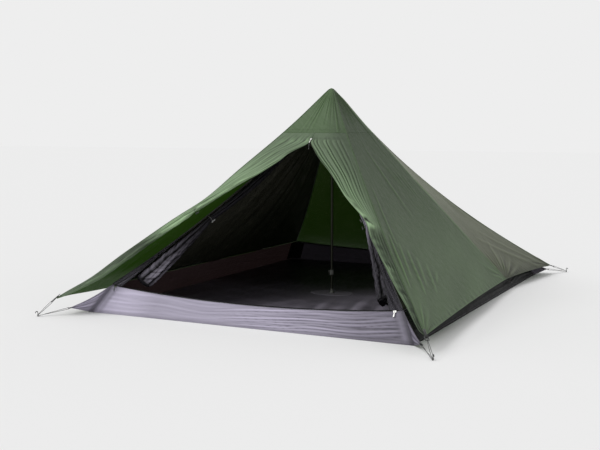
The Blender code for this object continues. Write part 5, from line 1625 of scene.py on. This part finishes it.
@dataclass
class InnerTent:
    """Groundsheet, bathtub walls, mesh sides and the rolled mesh doors."""

    seams: list[Pair] = field(default_factory=list)
    zips: list[Pair] = field(default_factory=list)

    def wall(self, name: str, first: Corner, second: Corner, ears: bool, seed: int) -> None:
        """One inclined bathtub wall with its long level creases.

        Args:
            name: the CAD node that it stands for.
            first: side and end of its first corner.
            second: side and end of its second corner.
            ears: whether it runs out into the corner ears.
            seed: fixes its creases.
        """
        along = np.linspace(0, 1, 200)[None, :]
        rise = np.linspace(0, 1, 40)[:, None]
        grid = tub_point(first, second, along, rise)
        inset = np.minimum(along, 1 - along)
        if not ears:
            step = unit(grid[:, -1] - grid[:, 0]) * 0.0015
            pull = np.clip(1 - inset / 0.03, 0, 1)
            grid = grid + step[:, None] * (pull * np.where(along < 0.5, 1, -1))[..., None]
        length = 2.2 if ears else 2.9
        level = rise + 0.11 * ripple(along, seed, ((1.1, 1.0), (2.3, 0.7), (4.1, 0.4)))
        lines = ripple(level + along * 0.15, seed + 1, ((2.3, 0.8), (4.3, 1.0), (7.1, 0.8)))
        slant = ripple(level - along * 0.6, seed + 3, ((3.1, 1.0), (5.9, 0.8)))
        strong = 0.5 + 0.5 * ripple(along * length + 0.6 * rise, seed + 4, ((0.6, 1.0), (1.1, 0.7)))
        waves = ripple(along * length, seed + 2, ((0.9, 1.0), (1.7, 0.6))) * hump(rise)
        far = fade(along, 0.3, 0.7)
        creases = 0.0065 * (sharp(lines, 0.5) - 0.25) * (0.5 + 0.5 * strong) * (0.3 + 0.4 * far)
        creases = creases + 0.0035 * (sharp(slant, 0.45) - 0.2) * (1 - strong) * (0.6 + 0.4 * far)
        creases = creases - 0.0075 * (1 - np.abs(slant + 0.5 * lines) ** 0.4) * far * (1 - 0.45 * rise)
        near = inset * length
        band = fade(near, 0.004, 0.010) * (1 - fade(near, 0.052, 0.058))
        lift = (creases + 0.0045 * waves) * hump(rise) ** 0.5 * fade(near, 0.03, 0.10)
        lift = lift + 0.0020 * band * hump(rise) ** 0.3
        centre, painted_light = AXIS + UP * 0.6, 1.0
        if ears:
            grid, lift = self._with_ears(grid, lift, first, second)
            columns = grid.shape[1]
            centre = AXIS + UP * 0.3
            # Painted light and shade along the front and back walls, and painted shade at their foot
            painted_light = levels(np.clip((np.arange(columns)[None, :] - 18) / (columns - 37), 0, 1), TUB_PAINTED_LIGHT)
            painted_light = painted_light * (0.78 + 0.22 * fade(rise, 0.08, 0.16))
        # The side walls' outside takes the near-black painted shade finish
        finishes = (Finish.TUB_OUT if ears else Finish.TUB_SIDE,
                    Finish.TUB_BACK if name.endswith("back") else Finish.TUB_IN)
        sheet = Sheet(name + "_cloth", grid, centre, TUB_CLOTH, (unit(grid[0, -1] - grid[0, 0]), UP),
                      finishes, slot="tub_cloth", lift=lift, rests_on=("inner_floor",), painted_light=painted_light)
        shaped = sheet.shaped()
        shaped[..., 2] = np.maximum(shaped[..., 2], THREAD_LIFT)
        normals = grid_normals(shaped, centre)
        for row in (2, -3):
            self.seams.append((shaped[row] + normals[row] * THREAD_LIFT, normals[row]))
        sheet.build(name)

    def _with_ears(self, grid: Array, lift: Array, first: Corner, second: Corner) -> Pair:
        """Adds the two pulled-out corners to a wall.

        Args:
            grid: the wall's points.
            lift: how far its folds lift them.
            first: side and end of its first corner.
            second: side and end of its second corner.

        Returns:
            The longer grid and its lifts.
        """
        rise = np.linspace(0, 1, grid.shape[0])[:, None]
        share = np.linspace(0, 1, 19)[None, 1:]
        ears, lifts = [], []
        for corner, edge in ((first, grid[:, 0]), (second, grid[:, -1])):
            tips = ear_tip(corner)[1] + UP * EAR_TIP_WIDTH * rise
            ear = edge[:, None] + (tips - edge)[:, None] * share[..., None]
            ear[..., 2] -= 0.010 * hump(share) * rise
            ears.append(ear)
            folds = ripple(rise + 0.12 * share, 91 + corner[0], ((2.5, 1.0), (4.4, 0.7)))
            lifts.append(0.0035 * folds * hump(share) * fade(rise, 0, 0.1))
        return (np.concatenate([ears[0][:, ::-1], grid, ears[1]], axis=1),
                np.concatenate([lifts[0][:, ::-1], lift, lifts[1]], axis=1))

    def tub(self) -> None:
        """The four walls, and dark bands beside the back corners."""
        self.wall("tub_wall_front", (-1, -1), (1, -1), True, 101)
        self.wall("tub_wall_back", (-1, 1), (1, 1), True, 102)
        self.wall("tub_wall_left", (-1, -1), (-1, 1), False, 103)
        self.wall("tub_wall_right", (1, -1), (1, 1), False, 104)
        rise = np.linspace(0.04, 1.0, 8)[:, None]
        for name, side in SIDES.items():
            beside = tub_point((side, -1), (side, 1), np.linspace(0.965, 0.996, 7)[None, :], rise)
            behind = tub_point((side, 1), (-side, 1), np.linspace(0.004, 0.045, 7)[None, :], rise)
            grid = np.concatenate([beside - side * 0.008 * RIGHT, behind - 0.008 * BACK], axis=1)
            Sheet("tub_corner_dark_band_" + name, grid, AXIS, FLOOR_CLOTH, (RIGHT + BACK, UP), (Finish.BAND,) * 2,
                  slot="tub_cloth", rests_on=("tub_wall_back",)).build()

    def floor(self) -> None:
        """The groundsheet with its low folds, and the patch under the pole."""
        half = (INNER_HALF[0] - 0.0035, INNER_HALF[1] - 0.0035)
        across, deep = np.meshgrid(np.linspace(-half[0], half[0], 150), np.linspace(-half[1], half[1], 190))
        grid = np.stack([across, deep, np.full_like(across, 0.0016)], axis=-1)
        folds = sharp(ripple(deep * 0.8 + across * 0.25, 111, ((2.1, 1.0), (3.4, 0.8), (5.3, 0.6))), 0.5)
        other = sharp(ripple(across * 0.9 - deep * 0.35, 112, ((1.9, 1.0), (3.1, 0.7), (4.7, 0.5))), 0.5)
        pleats = sharp(ripple(across * 2.2 + 0.5 * deep, 113, ((2.0, 1.0), (3.3, 0.8))), 0.5)
        near = bell(across, 0.55, 0.45) * bell(deep, -0.75, 0.45)
        gap = np.hypot(across, deep + POLE_FORWARD)
        edge = fade(np.minimum(half[0] - np.abs(across), half[1] - np.abs(deep)), 0.0, 0.06)
        lift = (0.008 * folds + 0.006 * other + 0.013 * pleats * near) * fade(gap, 0.17, 0.45) * edge
        # Painted light: the groundsheet is drawn lighter towards the front and the right
        painted_light = levels((deep / half[1] + 1) / 2, FLOOR_PAINTED_LIGHT) * (0.5 + 0.7 * fade(across, -0.6, 0.5))
        Sheet("inner_floor_cloth", grid, AXIS - UP, FLOOR_CLOTH, (RIGHT, BACK), (Finish.FLOOR,) * 2,
              slot="floor_cloth", held="laid", lift=lift, painted_light=painted_light).build("inner_floor")
        turn = np.linspace(0, 2 * math.pi, 97)[None, :]
        ring = np.concatenate([np.linspace(0.02, 0.96, 9), [0.985, 1.0]])[:, None]
        height = 0.0040 - 0.0012 * fade(ring, 0.96, 1.0) + 0 * turn
        flat = np.stack([0.165 * ring * np.cos(turn), 0.11 * ring * np.sin(turn) - POLE_FORWARD, height],
                        axis=-1)
        Sheet("pole_patch_cloth", flat, AXIS - UP, FLOOR_CLOTH, (RIGHT, BACK), (Finish.PATCH,) * 2,
              slot="floor_cloth", held="laid", rests_on=("inner_floor",)).build("pole_patch")
        self.seams.append((flat[-3] + UP * THREAD_LIFT, np.broadcast_to(UP, flat[-3].shape)))

    def mesh_side(self, name: str, first: str, second: str, seed: int) -> None:
        """One closed mesh side, from the inner peak to the bathtub.

        Args:
            name: the CAD node that it stands for.
            first: the ridge it starts at.
            second: the ridge it runs to.
            seed: fixes its folds.
        """
        down = np.linspace(0.03, 1, 90)[:, None]
        across = np.linspace(0, 1, 90)[None, :]
        left, right = INNER_RIBS[first], INNER_RIBS[second]
        grid = left.at(down) + (right.at(down) - left.at(down)) * across[..., None]
        sink = 0.03 * 4 * across * (1 - across) * hump(down)
        grid = grid + inward(grid) * sink[..., None]
        edge = left.at(1.0) * (1 - across[..., None]) + right.at(1.0) * across[..., None]
        low = tub_point(CORNERS[first], CORNERS[second], across, 1.0)
        grid = grid + (low - edge) * (down ** 2)[..., None] + UP * (MESH_THICKNESS + SEAM_GAP)
        wave = ripple(across * 1.5 + 0.2 * down, seed, ((2.3, 1.0), (4.9, 0.6), (8.3, 0.4)))
        lift = 0.006 * wave * hump(across) * fade(down, 0.05, 0.4)
        finish = Finish.MESH if name.endswith("back") else Finish.MESH_SIDE
        grain = (unit(grid[-1, -1] - grid[-1, 0]), UP)
        edge = grid[-1][None] - grid_normals(grid, AXIS)[-1][None] * 0.0012
        climb = unit(grid[-2] - grid[-1])[None] * np.linspace(0.021, 0.001, 4)[:, None, None]
        Sheet(name + "_band", edge + climb, AXIS, BAND_CLOTH, grain, (Finish.BAND,) * 2, slot="mesh",
              rests_on=(name.replace("mesh", "tub"),)).build()
        Sheet(name + "_cloth", grid, AXIS, MESH_CLOTH, grain, (finish,) * 2, slot="mesh", lift=lift,
              rests_on=("peak_hanger",)).build(name)

    def mesh_sides(self) -> None:
        """The left, right and back mesh sides."""
        self.mesh_side("mesh_wall_left", "front_left", "back_left", 121)
        self.mesh_side("mesh_wall_right", "front_right", "back_right", 122)
        self.mesh_side("mesh_wall_back", "back_right", "back_left", 123)

    def strips(self) -> None:
        """The fixed mesh strips beside the door, with the side zips on their inner edges."""
        down = np.linspace(STRIP_TOP, 1, 70)[:, None]
        share = np.linspace(0, 1, 18)[None, :]
        for name, side in SIDES.items():
            grid = inner_front_point(down, np.abs(max(side, 0) - strip_width(down) * share))
            wave = ripple(down * 1.2 + share * 0.3, 131 + side, ((5.0, 1.0), (9.0, 0.7)))
            # Painted light and shade down each strip
            Sheet(f"mesh_strip_{name}_cloth", grid, AXIS, MESH_CLOTH, (RIGHT, UP), (Finish.MESH_STRIP,) * 2,
                  slot="mesh", lift=0.003 * wave * hump(share), rests_on=("mesh_roll_" + name,),
                  painted_light=levels(down, STRIP_PAINTED_LIGHT[side])).build("mesh_strip_" + name)
            normals = grid_normals(grid, AXIS)[:, -1]
            self.zips.append((grid[:, -1] + normals * 0.001, normals))

    def ridge_tapes(self) -> None:
        """Dark tapes along the inner ridges and the bathtub's top edge."""
        lines = {"back_edge": tub_point((-1, 1), (1, 1), np.linspace(0.01, 0.99, 90), 1.0) - BACK * 0.007}
        for name, rib in INNER_RIBS.items():
            line = rib.at(np.linspace(0.04, 0.995, 90))
            lines[name] = line + UP * 0.0032 if name.startswith("front") else line + inward(line) * 0.009
        for name, line in lines.items():
            settle(tube_mesh("inner_ridge_tape_" + name, line, 0.0038, Finish.TAPE, sides=8), "mesh")

    def top_edge(self, rows: RowTree) -> None:
        """The door's bottom zip and the binding along the front wall's top edge.

        Args:
            rows: the tree that sets the teeth.
        """
        line = tub_point((-1, -1), (1, -1), np.linspace(0.012, 0.988, 160), 1.0)
        out = unit(np.array([0.0, -0.868, 0.496]))
        binding = tube_mesh("front_edge_binding", line + UP * 0.0012, 0.0026, Finish.TUB_SIDE, sides=10)
        settle(binding, "tub_cloth")
        self.zips.append((line - UP * 0.004 + out * 0.0022, np.broadcast_to(out, line.shape)))
        rows.row("inner_door_zip_teeth", self.zips, RowKind.ZIP_TOOTH, Finish.TEETH, "mesh")

    def build(self, rows: RowTree) -> None:
        """Makes the whole inner tent."""
        self.tub()
        self.floor()
        self.mesh_sides()
        self.strips()
        for name, side in SIDES.items():
            Roll(name, side).build()
        self.ridge_tapes()
        self.top_edge(rows)
        rows.row("tub_stitches", self.seams, RowKind.STITCH, Finish.THREAD_GREY, "tub_cloth")


@dataclass
class Roll:
    """One half of the inner door, rolled up against its front ridge and tied."""

    name: str
    side: int
    radius: float = 0.045
    neck: float = 0.020
    top_radius: float = 0.012
    top: float = 0.16
    low: float = 0.925
    tie: float = 0.59
    inset: float = 0.006
    side_share: float = 0.8
    gap: float = 0.0006
    turned_in: int = 14

    def spine(self, share: float) -> tuple[Array, float]:
        """The roll's centre and radius.

        Args:
            share: the share from its low end to its top end.

        Returns:
            The centre and the radius there.
        """
        down = self.low + (self.top - self.low) * share
        below = (down - self.tie) / (self.low - self.tie)
        if below > 0:
            radius = self.neck + (self.radius - self.neck) * math.sin(math.pi / 2 * min(below * 1.6, 1))
        else:
            rest = -below * (self.low - self.tie) / (self.tie - self.top)
            bulge = math.sin(math.pi * min(rest, 1))
            radius = self.neck + (self.top_radius - self.neck) * rest
            radius = radius + (self.radius - self.neck) * 0.45 * bulge
        rib = INNER_RIBS["front_" + self.name]
        inset = (radius * self.side_share + self.inset) / abs(2 * rib.at(down)[0])
        across = (inset ** 4 + float(strip_width(np.array(down))) ** 4) ** 0.25
        across = across if self.side < 0 else 1 - across
        spot = inner_front_point(down, across)
        beside = inner_front_point(down, across + 0.02) - spot
        under = inner_front_point(down + 0.02, across) - spot
        outward = unit(np.cross(under, beside))
        return spot - UP * MESH_THICKNESS - outward * (radius + self.gap), radius

    def build(self) -> None:
        """The half, crumpled, with its turns showing at the low end, and its loop."""
        tie = (self.low - self.tie) / (self.low - self.top)
        shares = np.linspace(0, 1, 260)
        centres, radii = map(np.array, zip(*map(self.spine, shares.tolist())))
        tangents = unit(np.gradient(centres, axis=0))
        facing = np.broadcast_to(-self.side * RIGHT, tangents.shape)
        facing = unit(facing - tangents * np.sum(facing * tangents, axis=-1, keepdims=True))
        across = np.cross(facing, tangents)
        sides = 120
        angle = circle(sides)[None, :]
        along = shares[:, None]
        turn = angle / (2 * math.pi)
        drift = 0.16 * ripple(along * 3.1, 140 + self.side, ((1.0, 1.0), (2.3, 0.7)))
        lobes = np.abs(hump(5 * turn + drift + 0.7 * along)) ** 0.55
        small = np.abs(hump(9 * turn - 1.6 * along - drift)) ** 0.7
        crumple = ripple(along * 9 + 0.6 * np.sin(angle + 3 * along), 143 + self.side,
                         ((2.1, 1.0), (3.7, 0.8), (6.1, 0.6)))
        cross = ripple(along * 6 - turn * 2, 145 + self.side, ((3.0, 1.0), (5.0, 0.7)))
        loose = 1 - fade(along, 0.25, 0.6)
        depth = (0.30 + 0.08 * loose) * (1 - lobes) + 0.13 * (1 - small)
        depth = depth + (0.05 + 0.10 * loose) * sharp(crumple, 0.5) + 0.05 * (0.5 + 0.5 * cross)
        pinch = bell(along, tie, 0.02)
        reach = radii[:, None] * (1 - depth * (1 - 0.6 * pinch)) * (1 - 0.12 * pinch)
        flare = 1 + (0.85 if self.side < 0 else 0.3) * (1 - fade(along, 0.02, 0.30))
        centres = centres + facing * (radii[:, None] * (flare - 1))
        spread = across[:, None] * np.sin(angle)[..., None]
        spread = spread + facing[:, None] * (flare * np.cos(angle))[..., None]
        rings = centres[:, None] + reach[..., None] * spread
        low_end = []
        for step in range(self.turned_in, 0, -1):
            shrink = 1 - step / (self.turned_in + 1)
            spiral = 0.010 * np.sin(angle[0] - 2 * math.pi * 3.2 * shrink) * shrink ** 0.3
            centre = centres[0] - tangents[0] * (0.004 * math.sin(math.pi * shrink))
            low_end.append(centre + (rings[0] - centres[0]) * shrink - tangents[0] * spiral[:, None])
        rings = np.concatenate([np.array(low_end), rings])
        count = len(rings)
        # Painted shade and light: fold crests lighter, hollows and the turned-in low end darker, times the
        # painted light level along the roll
        painted_light = levels(np.concatenate([np.zeros(self.turned_in), shares]), ROLL_PAINTED_LIGHT[self.side])[:, None]
        crest = np.concatenate([np.full((self.turned_in, sides), 0.25), 1.15 - 3.4 * depth])
        maps = {"Cloth": paired(angle * 0.035, np.linspace(0, 1.4, count)[:, None]),
                "Shade": paired(np.clip(crest, 0, 1), painted_light)}
        obj = mesh_object(f"mesh_roll_{self.name}_cloth", rings.reshape(-1, 3), ring_faces(count, sides),
                          [Finish.MESH_FOLDED], None, maps)
        right_way_out(obj)
        settle(obj, "mesh", "mesh_roll_" + self.name)
        self.tie_loop(tie)

    def tie_loop(self, share: float) -> None:
        """The elastic loop round the roll's tied place.

        Args:
            share: where that is, as a share from the low end.
        """
        centre, radius = self.spine(share)
        ahead = unit(self.spine(share + 0.02)[0] - centre)
        facing = -self.side * RIGHT
        facing = unit(facing - ahead * float(facing @ ahead))
        loop = round_loop(centre, radius * 0.985, facing, np.cross(facing, ahead), 40)
        cord = tube_mesh("roll_tie_" + self.name, loop, 0.0014, Finish.CORD_PALE, closed=True, sides=8)
        settle(cord, "grey_cord")


# Fittings


class Fittings:
    """The hard pieces that stay as the CAD made them: pole, pegs, buckles, toggles and zips."""

    # Finishes by the start of a piece's name
    FINISHES = {
        "pole_upper": Finish.POLE, "pole_lower": Finish.POLE, "pole_collar": Finish.GREY_PLASTIC,
        "pole_lever": Finish.PLASTIC, "pole_foot": Finish.GREY_PLASTIC, "pole_tip": Finish.PLASTIC,
        "door_zip": Finish.ZIP_METAL, "mesh_slider": Finish.ZIP_METAL, "mesh_pull": Finish.ZIP_METAL,
        "door_toggle": Finish.PLASTIC, "mesh_toggle_left": Finish.PALE_PLASTIC,
        "mesh_toggle_right": Finish.PLASTIC, "fly_buckle": Finish.PLASTIC, "inner_buckle": Finish.PLASTIC,
        "peg": Finish.PEG_METAL,
    }

    def build(self) -> None:
        """Gives every CAD piece that stays its finish."""
        for name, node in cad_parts.items():
            finish = next((look for start, look in self.FINISHES.items() if name.startswith(start)), None)
            if finish is not None and not node.hide_render:
                node.data.materials.clear()
                node.data.materials.append(finish.material())
                LOG.info("repainted %s", name)


# The studio


@dataclass(frozen=True)
class Studio:
    """Pale floor, soft light and the photograph's camera."""

    backdrop: Triple = linear(238, 238, 238)
    camera_place: Triple = (2.955, -6.576, 1.230)
    yaw: float = 26.4
    pitch: float = 5.80
    lens: float = 58.5
    sky: float = 0.62
    key: float = 1.5
    key_width: float = 40.0
    key_turn: Triple = (40.0, 0.0, -52.0)

    def floor(self) -> None:
        """A wide pale floor, a little below the tent."""
        half, low = 40.0, -0.0005
        mesh = bpy.data.meshes.new("studio_floor")
        mesh.from_pydata([(-half, -half, low), (half, -half, low), (half, half, low), (-half, half, low)], [],
                         [(0, 1, 2, 3)])
        recipe = Recipe("studio_floor")
        mesh.materials.append(recipe.finish(Base_Color=(*self.backdrop, 1.0), Roughness=1.0,
                                            Specular_IOR_Level=0.0))
        link_object("studio_floor", mesh)

    def world(self) -> None:
        """Even sky light, with the backdrop's colour where the camera sees it."""
        world = bpy.data.worlds.new("studio")
        world.use_nodes = True
        bpy.context.scene.world = world
        nodes, links = world.node_tree.nodes, world.node_tree.links
        nodes.clear()
        path, light, seen, mix, output = (nodes.new("ShaderNode" + kind) for kind in (
            "LightPath", "Background", "Background", "MixShader", "OutputWorld"))
        light.inputs["Color"].default_value = (1.0, 1.0, 1.0, 1.0)
        light.inputs["Strength"].default_value = self.sky
        seen.inputs["Color"].default_value = (*self.backdrop, 1.0)
        links.new(path.outputs["Is Camera Ray"], mix.inputs[0])
        links.new(light.outputs[0], mix.inputs[1])
        links.new(seen.outputs[0], mix.inputs[2])
        links.new(mix.outputs[0], output.inputs["Surface"])

    def lamp(self) -> None:
        """A far soft lamp from the front left."""
        data = bpy.data.lights.new("key", "SUN")
        data.energy = self.key
        data.angle = math.radians(self.key_width)
        link_object("key", data).rotation_euler = [math.radians(angle) for angle in self.key_turn]

    def camera(self) -> None:
        """The camera that took the photograph."""
        data = bpy.data.cameras.new("camera")
        data.lens = self.lens
        data.sensor_width = 36
        data.sensor_fit = "HORIZONTAL"
        data.clip_start = 0.05
        camera = link_object("camera", data)
        camera.location = self.camera_place
        camera.rotation_euler = Euler((math.radians(90 - self.pitch), 0, math.radians(self.yaw)))
        bpy.context.scene.camera = camera

    def build(self) -> None:
        """Sets up the whole studio."""
        self.camera()
        self.floor()
        self.world()
        self.lamp()
        bpy.context.scene.view_settings.view_transform = "Standard"


def main() -> None:
    """Builds the studio and every part of the tent, in order."""
    logging.basicConfig(level=logging.INFO, format="%(name)s: %(message)s")
    Studio().build()
    Cords().build()
    rows = RowTree()
    Fly().build(rows)
    InnerTent().build(rows)
    Fittings().build()


if __name__ == "__main__":
    main()
